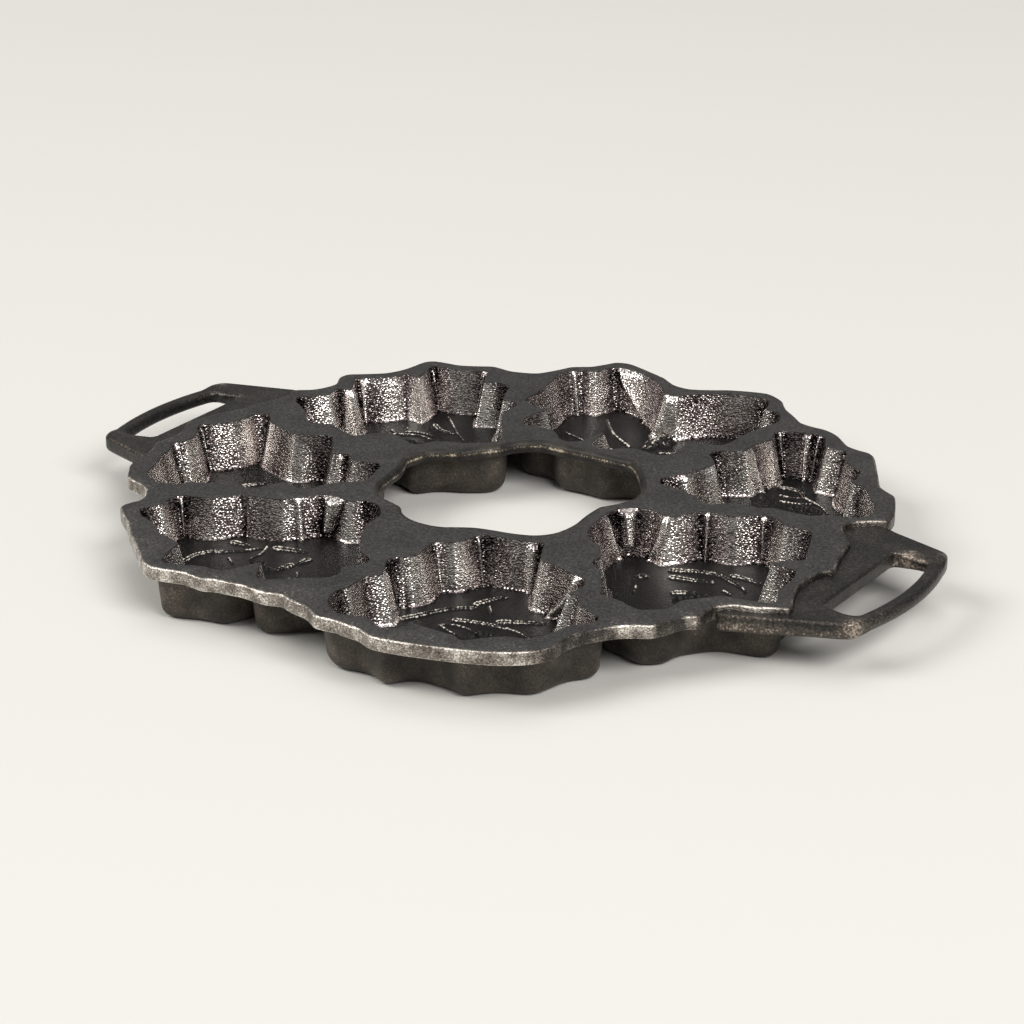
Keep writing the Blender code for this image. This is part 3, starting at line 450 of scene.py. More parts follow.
class Skin:
    """Points and faces gathered as whole arrays, each face with the place of its finish."""

    def __init__(self) -> None:
        """Starts an empty skin."""
        self.points: list[Array] = []
        self.wear_and_light: list[Array] = []
        self.count = 0
        self.faces: list[tuple[Array, int]] = []

    def ring(self, ring: Array, height: float | Array, worn_and_lit: float | Array = 0.0) -> Array:
        """Adds a ring of points at a height, or at one height each, and returns their numbers."""
        heights = np.broadcast_to(np.asarray(height, float), (len(ring),))
        return self.spots(np.column_stack((ring, heights)), worn_and_lit)

    def spots(self, points: Array, worn_and_lit: float | Array = 0.0) -> Array:
        """Adds points.

        Args:
            points: Their places.
            worn_and_lit: How pale they are painted, from -1 to 1: rubbed metal together with painted highlight
                above 0, and painted shade below it.

        Returns:
            Their numbers.
        """
        self.points.append(points)
        self.wear_and_light.append(np.broadcast_to(np.asarray(worn_and_lit, float), (len(points),)))
        self.count += len(points)
        return np.arange(self.count - len(points), self.count)

    def band(self, first: Array, second: Array, finish: int) -> None:
        """Quads between two rings. Clockwise rings, going up, give a band that faces out."""
        on, off = np.roll(first, -1), np.roll(second, -1)
        self.faces.append((np.column_stack((on, first, second, off)), finish))

    def bands(self, rings: list[Array], finish: int, flipped: bool = False) -> None:
        """A band between each ring and the next, facing the other way where it is flipped."""
        for first, second in zip(rings, rings[1:]):
            self.band(*((second, first) if flipped else (first, second)), finish)

    def fill(self, loop: Array, holes: list[Array], spots: Array, up: bool, finish: int) -> None:
        """Triangles over the ground between a loop and holes, and through further spots.

        The ground is cut by a Delaunay triangulation held to the loops, and the triangles outside them go.

        Args:
            loop: The numbers of the outer loop's points.
            holes: The numbers of the holes' points.
            spots: The numbers of points inside.
            up: Whether the triangles face up.
            finish: The place of their finish.

        Raises:
            ValueError: Where two loops touch, so that the triangulation needs a further corner.
        """
        every = np.concatenate(self.points)
        numbers = np.concatenate((loop, *holes, spots)).astype(int)
        start, edges = 0, []
        for closed in (loop, *holes):
            run = np.arange(start, start + len(closed))
            edges.append(np.column_stack((run, np.roll(run, -1))))
            start += len(closed)
        flat = every[numbers, :2] / MM
        found = delaunay_2d_cdt(
            flat.tolist(), np.concatenate(edges).tolist(), [], TRIANGLES_INSIDE, SAME_SPOT, False
        )
        corners, triangles = np.array(found[0])[:, :2] * MM, np.array(found[2])
        if len(corners) != len(flat):
            raise ValueError(f"{len(corners)} corners from {len(flat)} points")
        middles = corners[triangles].mean(axis=1)
        covered = inside(middles, every[loop, :2])
        for hole in holes:
            covered &= ~inside(middles, every[hole, :2])
        faces = numbers[triangles[covered]]
        self.faces.append((faces if up else faces[:, ::-1], finish))

    def made(self, name: str, finishes: Finishes) -> bpy.types.Object:
        """Makes the skin an object that is smooth up to its sharp edges.

        Args:
            name: Its name.
            finishes: Its materials, in the order of their places.

        Returns:
            The object, linked to the scene.
        """
        mesh = bpy.data.meshes.new(name)
        corners = np.concatenate([faces.ravel() for faces, _ in self.faces])
        sides = np.concatenate([np.full(len(faces), faces.shape[1]) for faces, _ in self.faces])
        slots = np.concatenate([np.full(len(faces), finish) for faces, finish in self.faces])
        mesh.vertices.add(self.count)
        mesh.vertices.foreach_set("co", np.concatenate(self.points).astype(np.float32).ravel())
        mesh.loops.add(len(corners))
        mesh.loops.foreach_set("vertex_index", corners.astype(np.int32))
        mesh.polygons.add(len(sides))
        mesh.polygons.foreach_set("loop_start", (np.cumsum(sides) - sides).astype(np.int32))
        mesh.polygons.foreach_set("material_index", slots.astype(np.int32))
        wear_and_light = mesh.attributes.new("wear_and_light", "FLOAT", "POINT")
        wear_and_light.data.foreach_set("value", np.concatenate(self.wear_and_light).astype(np.float32))
        mesh.update(calc_edges=True)
        mesh.validate()
        for finish in finishes:
            mesh.materials.append(finish)
        mesh.shade_smooth()
        mesh.set_sharp_from_angle(angle=SHARP_EDGE)
        obj = bpy.data.objects.new(name, mesh)
        bpy.context.scene.collection.objects.link(obj)
        return obj


def linear(code: str) -> tuple[float, float, float, float]:
    """An sRGB hex colour as linear red, green, blue and full alpha."""
    shares = [int(code[place : place + 2], 16) / 255 for place in (1, 3, 5)]
    return (*(s / 12.92 if s <= 0.04045 else ((s + 0.055) / 1.055) ** 2.4 for s in shares), 1.0)


def add_node(
    tree: bpy.types.NodeTree, kind: str, sockets: dict | None = None, **settings: object
) -> bpy.types.Node:
    """Adds a node.

    Args:
        tree: The tree that it joins.
        kind: Its type name.
        sockets: A value or a socket to link for each of its inputs.
        settings: Its own properties.

    Returns:
        The node.
    """
    node = tree.nodes.new(kind)
    for name, value in settings.items():
        setattr(node, name, value)
    for name, value in (sockets or {}).items():
        if isinstance(value, bpy.types.NodeSocket):
            tree.links.new(value, node.inputs[name])
        else:
            node.inputs[name].default_value = value
    return node


@dataclass(frozen=True)
class CastIron:
    """Seasoned cast iron as one part of the sand mould left it.

    Its tints run from thick seasoning to uncoated metal at the stops, in some finishes also from painted shade
    to painted highlight, and its roughness from smooth to rough. Pebble, grain and patch are widths in metres,
    and flatness is how much lower than wide a pebble is. Each span is the stretch of a pattern that shows, and
    each share is how far along the tints it moves the colour. The pebble glint share paints each pebble's top
    lighter than its edges, a painted glint, and the attribute wear_and_light holds rubbed metal with painted
    highlight, and painted shade where it is negative.
    """

    name: str
    tints: tuple[str, str, str, str]
    roughness: tuple[float, float]
    metallic: float
    specular: float
    pebble: float
    pebble_height: float
    grain: float
    grain_height: float
    patch: float = 14 * MM
    flatness: float = 1.0
    patch_share: float = 0.5
    fleck_share: float = 0.5
    wear_and_light_share: float = 0.5
    pebble_glint_share: float = 0.0
    stops: tuple[float, float, float, float] = (0.0, 0.4, 0.75, 1.0)
    detail: float = 3.0
    pebble_blend: float = 0.5
    patch_span: tuple[float, float] = (0.35, 0.65)
    fleck_span: tuple[float, float] = (0.3, 0.7)
    wear_and_light_span: tuple[float, float] = (-1.0, 1.0)
    pebble_span: tuple[float, float] = (0.15, 0.6)

    def made(self) -> bpy.types.Material:
        """Builds the material: patterns, rubbed metal and painted light move its tint along a ramp, pebble
        tops add painted glints, and pebbles and grain roughen it.

        Returns:
            The material.
        """
        material = bpy.data.materials.new(self.name)
        material.use_nodes = True
        tree = material.node_tree
        spot = add_node(tree, "ShaderNodeTexCoord").outputs["Object"]
        patches, fine = (
            add_node(tree, "ShaderNodeTexNoise", {"Vector": spot, "Scale": 1 / width, "Detail": self.detail})
            for width in (self.patch, self.grain)
        )
        squash = {0: spot, 1: (1.0, 1.0, self.flatness)}
        squashed = add_node(tree, "ShaderNodeVectorMath", squash, operation="MULTIPLY").outputs["Vector"]
        sockets = {"Vector": squashed, "Scale": 1 / self.pebble, "Smoothness": self.pebble_blend}
        pebbles = add_node(tree, "ShaderNodeTexVoronoi", sockets, feature="SMOOTH_F1").outputs["Distance"]
        # The wear_and_light attribute: rubbed metal together with painted highlight and painted light, and
        # painted shade where it is negative.
        wear_and_light = add_node(tree, "ShaderNodeAttribute", attribute_name="wear_and_light").outputs["Fac"]
        flecks = fine.outputs["Fac"]
        shares = []
        for value, span, ends in (
            (flecks, self.fleck_span, self.roughness),
            (patches.outputs["Fac"], self.patch_span, (0.0, self.patch_share)),
            (flecks, self.fleck_span, (0.0, self.fleck_share)),
            (wear_and_light, self.wear_and_light_span, (-self.wear_and_light_share, self.wear_and_light_share)),
            # Each pebble's top is painted lighter than its edges: a painted glint.
            (pebbles, self.pebble_span, (self.pebble_glint_share, 0.0)),
        ):
            limits = zip(("From Min", "From Max", "To Min", "To Max"), (*span, *ends))
            shares.append(add_node(tree, "ShaderNodeMapRange", {"Value": value, **dict(limits)}).outputs[0])
        roughness, place, *others = shares
        for share in others:
            place = add_node(tree, "ShaderNodeMath", {0: place, 1: share}, operation="ADD").outputs[0]
        tint = add_node(tree, "ShaderNodeValToRGB", {"Fac": place})
        elements = tint.color_ramp.elements
        while len(elements) < len(self.tints):
            elements.new(0.5)
        for element, stop, code in zip(elements, self.stops, self.tints):
            element.position = stop
            element.color = linear(code)
        sockets = {"Height": pebbles, "Distance": -self.pebble_height, "Strength": 1.0}
        lumps = add_node(tree, "ShaderNodeBump", sockets).outputs["Normal"]
        sockets = {"Height": flecks, "Distance": self.grain_height, "Strength": 1.0, "Normal": lumps}
        grains = add_node(tree, "ShaderNodeBump", sockets).outputs["Normal"]
        shader = tree.nodes["Principled BSDF"]
        tree.links.new(tint.outputs["Color"], shader.inputs["Base Color"])
        tree.links.new(roughness, shader.inputs["Roughness"])
        tree.links.new(grains, shader.inputs["Normal"])
        shader.inputs["Metallic"].default_value = self.metallic
        shader.inputs["Specular IOR Level"].default_value = self.specular
        return material


# Ground flat and oiled: dark and satin, with light specks, which are drawn coarser than they are.
DECK_IRON = CastIron(
    "ground_seasoned_iron", ("#1b1b1b", "#333231", "#474543", "#85817c"), (0.45, 0.62), 0.1, 0.3,
    0.8 * MM, 0.02 * MM, 1.1 * MM, 0.09 * MM, patch_share=0.15, fleck_share=0.65, wear_and_light_share=0.4,
)
# Cast against sand and baked with oil: pebbles that glint like hammered metal. Each pebble's top is painted
# lighter than its edges as a painted glint, the ridges are painted lighter as painted highlight, and the
# hollows and the foot darker as painted shade.
WALL_IRON = CastIron(
    "pebbled_cast_iron", ("#181515", "#958b8a", "#e2ded8", "#faf8f4"), (0.16, 0.27), 0.97, 0.5,
    1.15 * MM, 0.22 * MM, 0.7 * MM, 0.03 * MM, patch=18 * MM, flatness=1.8,
    patch_share=0.3, fleck_share=0.3, wear_and_light_share=0.42, pebble_glint_share=0.55,
)
# Almost black and nearly smooth: the black is painted shade on the cups' floors, and the crests of the relief
# are painted pale as painted highlight.
SHADED_FLOOR_IRON = CastIron(
    "shaded_smooth_cast_iron", ("#0b0b0a", "#121111", "#1d1b1a", "#dcd5ca"), (0.35, 0.48), 0.12, 0.12,
    1.2 * MM, 0.05 * MM, 1.1 * MM, 0.08 * MM, patch_share=0.1, fleck_share=0.65, wear_and_light_share=0.6,
)
# Left as the sand mould gave it: brown, dull and grainy.
SHELL_IRON = CastIron(
    "sand_cast_iron", ("#211f1d", "#3a3631", "#524b43", "#7d756b"), (0.45, 0.62), 0.35, 0.35,
    1.0 * MM, 0.07 * MM, 0.8 * MM, 0.08 * MM,
)
# Fettled with a grinder: bare streaks broken by dark pits, along the edge of the deck. The pebble tops are
# painted lighter as painted glints, and the band is painted paler where it faces the front as painted light.
RIM_IRON = CastIron(
    "fettled_and_lit_iron", ("#201e1c", "#45413d", "#9a9289", "#f6f0e8"), (0.28, 0.45), 0.75, 0.5,
    1.0 * MM, 0.2 * MM, 0.7 * MM, 0.08 * MM, patch=7 * MM, flatness=2.5,
    patch_share=0.35, fleck_share=0.35, wear_and_light_share=0.6, pebble_glint_share=0.2,
)
# Cast and seldom touched: dark, with a warm pale line painted along its rounded top corner as a painted
# highlight.
HOLE_IRON = CastIron(
    "dark_cast_edge", ("#1a1918", "#2b2927", "#4a443c", "#d9cbb4"), (0.4, 0.55), 0.4, 0.3,
    0.8 * MM, 0.1 * MM, 0.7 * MM, 0.05 * MM, patch=9 * MM,
    patch_share=0.35, fleck_share=0.45, wear_and_light_share=0.55,
)
# Polished by hands: dark with a soft shine, and pale at its corners and on its sides: rubbed metal, with
# painted highlight on the edges and painted light where they face the front.
HANDLE_IRON = CastIron(
    "handle_cast_iron", ("#1a1a19", "#31302e", "#57504a", "#a89c8e"), (0.3, 0.45), 0.65, 0.4,
    0.9 * MM, 0.12 * MM, 1.0 * MM, 0.09 * MM, patch_share=0.2, fleck_share=0.5, wear_and_light_share=0.55,
)


class CupFinish(IntEnum):
    """The places of a cup's finishes."""

    LIP = 0
    WALL = 1
    FLOOR = 2
    SHELL = 3


class DeckFinish(IntEnum):
    """The places of the deck's finishes."""

    GROUND = 0
    RIM = 1
    UNDERSIDE = 2
    HOLE = 3


RIM_LINE = Contour.drawn(RIM).evened(TRACING.rim_easing).carried(-TRACING.rim_inset)
RIM_LINE = Contour.marked(RIM_LINE.points)
RIM_MIDDLE_Y = (RIM_LINE.points[:, 1].max() + RIM_LINE.points[:, 1].min()) / 2
DECK_MIDDLE_Y = (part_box("deck_plate")[0][1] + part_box("deck_plate")[1][1]) / 2


def at_wreath(points: Array) -> Array:
    """Points moved from the wreath's centre to the model's frame, where the rim is centred on the deck."""
    return points + np.array((0.0, DECK_MIDDLE_Y - RIM_MIDDLE_Y))


@dataclass
class Rib:
    """A line raised on a cup's floor, thick at its first point: its points and sizes in millimetres."""

    width: float
    points: tuple[Spot, ...]
    grooved: bool = False
    height: float = 1.1
    taper: float = 0.35
    groove: float = 0.55
    valley: float = 0.3
    bead: float = 1.5
    bead_share: float = 0.3
    step: float = 0.3

    def line(self) -> Array:
        """Joins its points by a smooth curve: a cubic through each two, with the slopes at its ends.

        Returns:
            The curve's points, in short even steps.
        """
        given = np.array(self.points, float) * MM
        reach = reaches(given)
        stops = np.linspace(0, reach[-1], max(3, int(reach[-1] / (self.step * MM))))
        slopes = np.gradient(given, reach, axis=0)
        place = np.clip(np.searchsorted(reach, stops, side="right") - 1, 0, len(given) - 2)
        span = (reach[place + 1] - reach[place])[:, None]
        t = (stops - reach[place])[:, None] / span
        return (
            (2 * t**3 - 3 * t**2 + 1) * given[place]
            + (t**3 - 2 * t**2 + t) * span * slopes[place]
            + (3 * t**2 - 2 * t**3) * given[place + 1]
            + (t**3 - t**2) * span * slopes[place + 1]
        )

    def height_at(self, spots: Array) -> Array:
        """How high the rib stands at each spot.

        Across it, a plain rib is a cosine wave, and a grooved one is two crests beside a shallow valley.
        Along it, it thins towards its end and its crest dips a little between beads.

        Args:
            spots: The places to measure, in metres.

        Returns:
            A height in metres for each of them.
        """
        line = self.line()
        offsets = np.linalg.norm(spots[:, None, :] - line[None, :, :], axis=2)
        closest = offsets.argmin(axis=1)
        share = 1 - self.taper * closest / (len(line) - 1)
        across = np.clip(offsets[np.arange(len(spots)), closest] / (self.width * MM / 2 * share), 0, 1)
        if self.grooved:
            crest = np.cos(np.clip((across - self.groove) / (1 - self.groove), -1, 1) * math.pi / 2) ** 2
            form = np.maximum(crest, np.where(across < self.groove, self.valley, 0))
        else:
            form = wave(across)
        beads = 1 - self.bead_share * wave(2 * closest * self.step / self.bead)
        return self.height * MM * share * form * beads


@dataclass
class Leaf:
    """A holly leaf raised on a cup's floor: a midrib from stem to tip, and pairs of side veins."""

    stem: Spot
    tip: Spot
    bend: float
    reach: float
    pairs: int
    width: float = 2.4
    lean: float = math.radians(42)
    midrib: tuple[float, ...] = (0, 0.3, 0.6, 1)

    def spot(self, share: float) -> tuple[Array, Array]:
        """A point on the midrib, whose line is its chord plus 4 bend t (1 - t) to its left.

        Args:
            share: How far along the midrib the point lies, from 0 to 1.

        Returns:
            The point and the midrib's direction there.
        """
        stem, chord = np.array(self.stem), np.array(self.tip) - np.array(self.stem)
        side = np.array((-chord[1], chord[0])) / np.linalg.norm(chord)
        along = chord + 4 * self.bend * (1 - 2 * share) * side
        place = stem + share * chord + 4 * self.bend * share * (1 - share) * side
        return place, along / np.linalg.norm(along)

    def ribs(self) -> tuple[Rib, ...]:
        """Draws the leaf's lines. A side vein is longest halfway along the midrib.

        Returns:
            The midrib and the side veins.
        """
        found = [Rib(self.width, tuple(tuple(self.spot(share)[0]) for share in self.midrib))]
        for share in (np.arange(self.pairs) + 1) / (self.pairs + 1):
            place, along = self.spot(share)
            for turn in (self.lean, -self.lean):
                cos, sin = math.cos(turn), math.sin(turn)
                way = np.array((along @ (cos, -sin), along @ (sin, cos)))
                end = place + way * self.reach * math.sin(math.pi * share)
                found.append(Rib(self.width, (tuple(place), tuple(end))))
        return tuple(found)


@dataclass
class Berry:
    """A berry in a cup's floor: a round hollow with a low brim, or a knob where its depth is negative."""

    centre: Spot
    radius: float = 3.1
    depth: float = 1.5
    brim: float = 0.7
    brim_reach: float = 1.05
    brim_half: float = 0.25

    def height_at(self, spots: Array) -> Array:
        """How high the berry stands at each spot.

        Its bowl is as deep as 1 - r^2, where r is the share of its radius, and its brim is a cosine wave.

        Args:
            spots: The places to measure, in metres.

        Returns:
            A height in metres for each of them, negative in the bowl.
        """
        away = np.linalg.norm(spots - np.array(self.centre) * MM, axis=1) / (self.radius * MM)
        bowl = -self.depth * MM * np.clip(1 - away**2, 0, None)
        across = away - self.brim_reach
        edge = self.brim * MM * np.clip(np.cos(across * math.pi / (2 * self.brim_half)), 0, None)
        return bowl + np.where(np.abs(across) < self.brim_half, edge, 0)


def berries(*centres: Spot) -> tuple[Berry, ...]:
    """Hollow berries at these centres, in millimetres."""
    return tuple(Berry(centre) for centre in centres)


class Shape(Enum):
    """How a fold looks from above."""

    WAVE = "a cosine wave"
    COLUMN = "half an ellipse"
    FLAP = "a slope that ends in a step"


@dataclass
class Fold:
    """A fold down a cup's wall, from its head on the mouth's line to its foot beside it, in millimetres.

    It bulges into the cup where its rise is positive, and leans along the wall with the square of the depth.
    It grows over its ease below the lip and fades at its stop, as shares of the wall's height. A flap's step
    is at its clockwise end, or at the other end where its half width is negative.
    """

    head: Spot
    half: float
    rise: float
    lean: float = 0.0
    stop: float = 1.2
    ease: float = 0.12
    stop_ease: float = 0.12
    shape: Shape = Shape.WAVE
    step: float = 0.25

    def push(self, mouth: Array, share: float) -> Array:
        """How far each point of a ring moves inwards.

        Args:
            mouth: The mouth's ring.
            share: The ring's depth as a share of the wall's height.

        Returns:
            A distance in metres for each point.
        """
        arc = reaches(mouth)
        away = arc - arc[nearest(mouth, self.head)] - self.lean * share**2 * MM
        away = (away + arc[-1] / 2) % arc[-1] - arc[-1] / 2
        across = np.clip(away / (self.half * MM), -1, 1)
        if self.shape is Shape.COLUMN:
            form = np.sqrt(1 - across**2)
        elif self.shape is Shape.FLAP:
            form = np.minimum((1 + across) / (2 - self.step), (1 - across) / self.step)
        else:
            form = wave(across)
        ends = np.clip(share / self.ease, 0, 1) * np.clip((self.stop - share) / self.stop_ease, 0, 1)
        return self.rise * MM * form * math.sin(ends * math.pi / 2)


@dataclass
class Cup:
    """One cup of the wreath: its lip, its drafted wall, the relief on its floor, and its outer shell.

    Its slit is a narrow gap between two lobes of the mouth, which the shell runs straight across.
    """

    name: str
    rows: tuple[Row, ...]
    depth: float
    relief: tuple[Rib | Leaf | Berry, ...] = ()
    folds: tuple[Fold, ...] = ()
    slit: tuple[Spot, Spot] | None = None
    draft: float = math.radians(12)
    lip: float = 0.55 * MM
    lip_rings: int = 4
    wall_rings: int = 24
    foot: float = 1.3 * MM
    foot_rings: int = 5
    shell_margin: float = 2.4 * MM
    shell_ease: float = 1.7 * MM
    shell_draft: float = math.radians(5)
    shell_corner: float = 5.5 * MM
    corner_rings: int = 8
    shell_fillet: float = 1.0 * MM
    fillet_rings: int = 4
    grid: float = 0.38 * MM
    grid_margin: float = 0.6
    batch: int = 64
    # How high a crest stands before it is painted fully pale as painted highlight, and the share of that
    # highlight a berry takes.
    highlight_rise: float = 0.75 * MM
    berry_highlight: float = 0.45
    mouth: Contour = field(init=False)

    def __post_init__(self) -> None:
        """Draws the mouth's contour."""
        self.mouth = Contour.drawn(self.rows)

    def lip_ring(self, beyond: float = 0.0) -> Array:
        """The ring where the lip meets the deck's top, or one this far beyond it."""
        return self.mouth.carried(self.lip + beyond).ring()

    def folded(self, ring: Array, share: float) -> Array:
        """Moves a wall's ring straight inwards by its folds.

        Args:
            ring: The wall's ring without folds.
            share: Its depth as a share of the wall's height.

        Returns:
            The ring with its folds.
        """
        mouth = self.mouth.ring()
        push = sum((fold.push(mouth, share) for fold in self.folds), np.zeros(len(ring)))
        return ring - outward(tangents(ring)) * push[:, None]

    def inner(self) -> list[tuple[Array, float, CupFinish]]:
        """Draws the inside: a rounded lip, a wall that narrows evenly by its draft, and a rounded foot.

        Returns:
            Rings from the lip to the floor's edge, each with its depth and the finish of the band above it.
        """
        rings = [(self.lip_ring(), 0.0, CupFinish.LIP), (self.lip_ring(-GUARD), 0.0, CupFinish.LIP)]
        for _, inward, fallen in quarter(self.lip_rings)[1:]:
            ring = self.mouth.carried((self.lip - GUARD) * inward).ring()
            rings.append((ring, self.lip * fallen, CupFinish.LIP))
        turn = math.pi / 2 - self.draft
        foot_depth = self.depth - self.foot * (1 - math.cos(turn))
        fall = (foot_depth - self.lip) * math.tan(self.draft)
        top, bottom_line = self.mouth.ring(), self.mouth.carried(-fall)
        bottom = ridged(self.mouth, bottom_line.ring(), -fall)
        for share in np.linspace(0, 1, self.wall_rings + 1)[1:]:
            ring = self.folded(top * (1 - share) + bottom * share, share)
            rings.append((ring, self.lip + (foot_depth - self.lip) * share, CupFinish.WALL))
        stops = []
        for angle in np.linspace(turn, 0, self.foot_rings + 1)[1:]:
            inset = self.foot * (math.sin(turn) - math.sin(angle))
            stops.append((inset, self.depth - self.foot * (1 - math.cos(angle)), CupFinish.WALL))
        stops.append((self.foot + GUARD, self.depth, CupFinish.FLOOR))
        for inset, depth, finish in stops:
            line = ridged(self.mouth, bottom_line.carried(-inset).ring(), -fall - inset)
            rings.append((self.folded(line, 1.0), depth, finish))
        return rings

    def outer(self) -> list[tuple[Array, float]]:
        """Draws the shell: a rounded corner at the base, and a fillet under the deck.

        Returns:
            Rings from the base up to the deck's underside, each with its height.
        """
        line = self.mouth.bridged(*self.slit) if self.slit else self.mouth
        shell = line.carried(self.shell_margin + self.shell_ease).evened(self.shell_ease)
        shell = shell.carried(-self.shell_ease)
        fall = (DECK_UNDERSIDE - self.shell_corner) * math.tan(self.shell_draft)
        rings = [(shell.carried(-fall - self.shell_corner - GUARD).ring(), 0.0)]
        for _, inward, risen in quarter(self.corner_rings):
            ring = shell.carried(-fall - self.shell_corner * inward).ring()
            rings.append((ring, self.shell_corner * risen))
        for _, below, flared in quarter(self.fillet_rings):
            ring = shell.carried(self.shell_fillet * flared).ring()
            rings.append((ring, DECK_UNDERSIDE - self.shell_fillet * below))
        return rings

    def floor_spots(self, edge: Array) -> Array:
        """Covers the floor with an even grid that is clear of its edge.

        Args:
            edge: The floor's edge.

        Returns:
            The grid's points.
        """
        grid = even_grid(edge, self.grid)
        grid = grid[inside(grid, edge)]
        clear = np.ones(len(grid), bool)
        for first in range(0, len(edge), self.batch):
            steps = grid[:, None, :] - edge[None, first : first + self.batch, :]
            clear &= np.linalg.norm(steps, axis=2).min(axis=1) > self.grid * self.grid_margin
        return grid[clear]

    def raised(self, spots: Array) -> tuple[Array, Array]:
        """Raises the relief. At each spot, the form that stands farthest from the floor shows.

        Args:
            spots: The floor's points.

        Returns:
            How far the relief stands over the floor at each of them, and how pale its crest is painted there
            as painted highlight.
        """
        height, wear_and_light = np.zeros(len(spots)), np.zeros(len(spots))
        parts = (form.ribs() if isinstance(form, Leaf) else (form,) for form in self.relief)
        for form in (form for group in parts for form in group):
            rise = form.height_at(spots)
            height = np.where(np.abs(rise) > np.abs(height), rise, height)
            # The relief's crests are painted pale as painted highlight, berries less than ribs.
            bare_and_sheen = self.berry_highlight if isinstance(form, Berry) else 1.0
            wear_and_light = np.maximum(wear_and_light, bare_and_sheen * np.clip(rise / self.highlight_rise, 0, 1) ** 2)
        return height, wear_and_light

    def built(self, finishes: Finishes) -> bpy.types.Object:
        """Builds the cup as one closed skin. Its wall is painted lighter on its ridges as painted highlight,
        and darker in its hollows and towards its foot as painted shade.

        Args:
            finishes: Its materials, in the order of CupFinish.

        Returns:
            The cup.
        """
        skin = Skin()
        shell = [skin.ring(at_wreath(ring), height) for ring, height in self.outer()]
        skin.fill(shell[0], [], np.empty(0), False, CupFinish.SHELL)
        skin.bands(shell, CupFinish.SHELL)
        inner = self.inner()
        last = skin.ring(at_wreath(inner[0][0]), DECK_UNDERSIDE)
        skin.band(shell[-1], last, CupFinish.SHELL)
        for ring, depth, finish in inner:
            # Wall rings are painted lighter on ridges and darker in hollows and over the rounded foot: painted
            # highlight and painted shade.
            hollow = min(max((depth - self.depth + self.foot) / self.foot, 0.0), 1.0)
            worn_and_lit = ridge_light_and_shade(ring) - hollow if finish is CupFinish.WALL else 0.0
            new = skin.ring(at_wreath(ring), DECK_TOP - depth, worn_and_lit)
            skin.band(last, new, finish)
            last = new
        spots = self.floor_spots(inner[-1][0])
        rises, wear_and_light = self.raised(spots)
        numbers = skin.spots(np.column_stack((at_wreath(spots), DECK_TOP - self.depth + rises)), wear_and_light)
        skin.fill(last, [], numbers, True, CupFinish.FLOOR)
        obj = skin.made(f"{self.name}_casting", finishes)
        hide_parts(self.name)
        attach(obj, "root")
        return obj


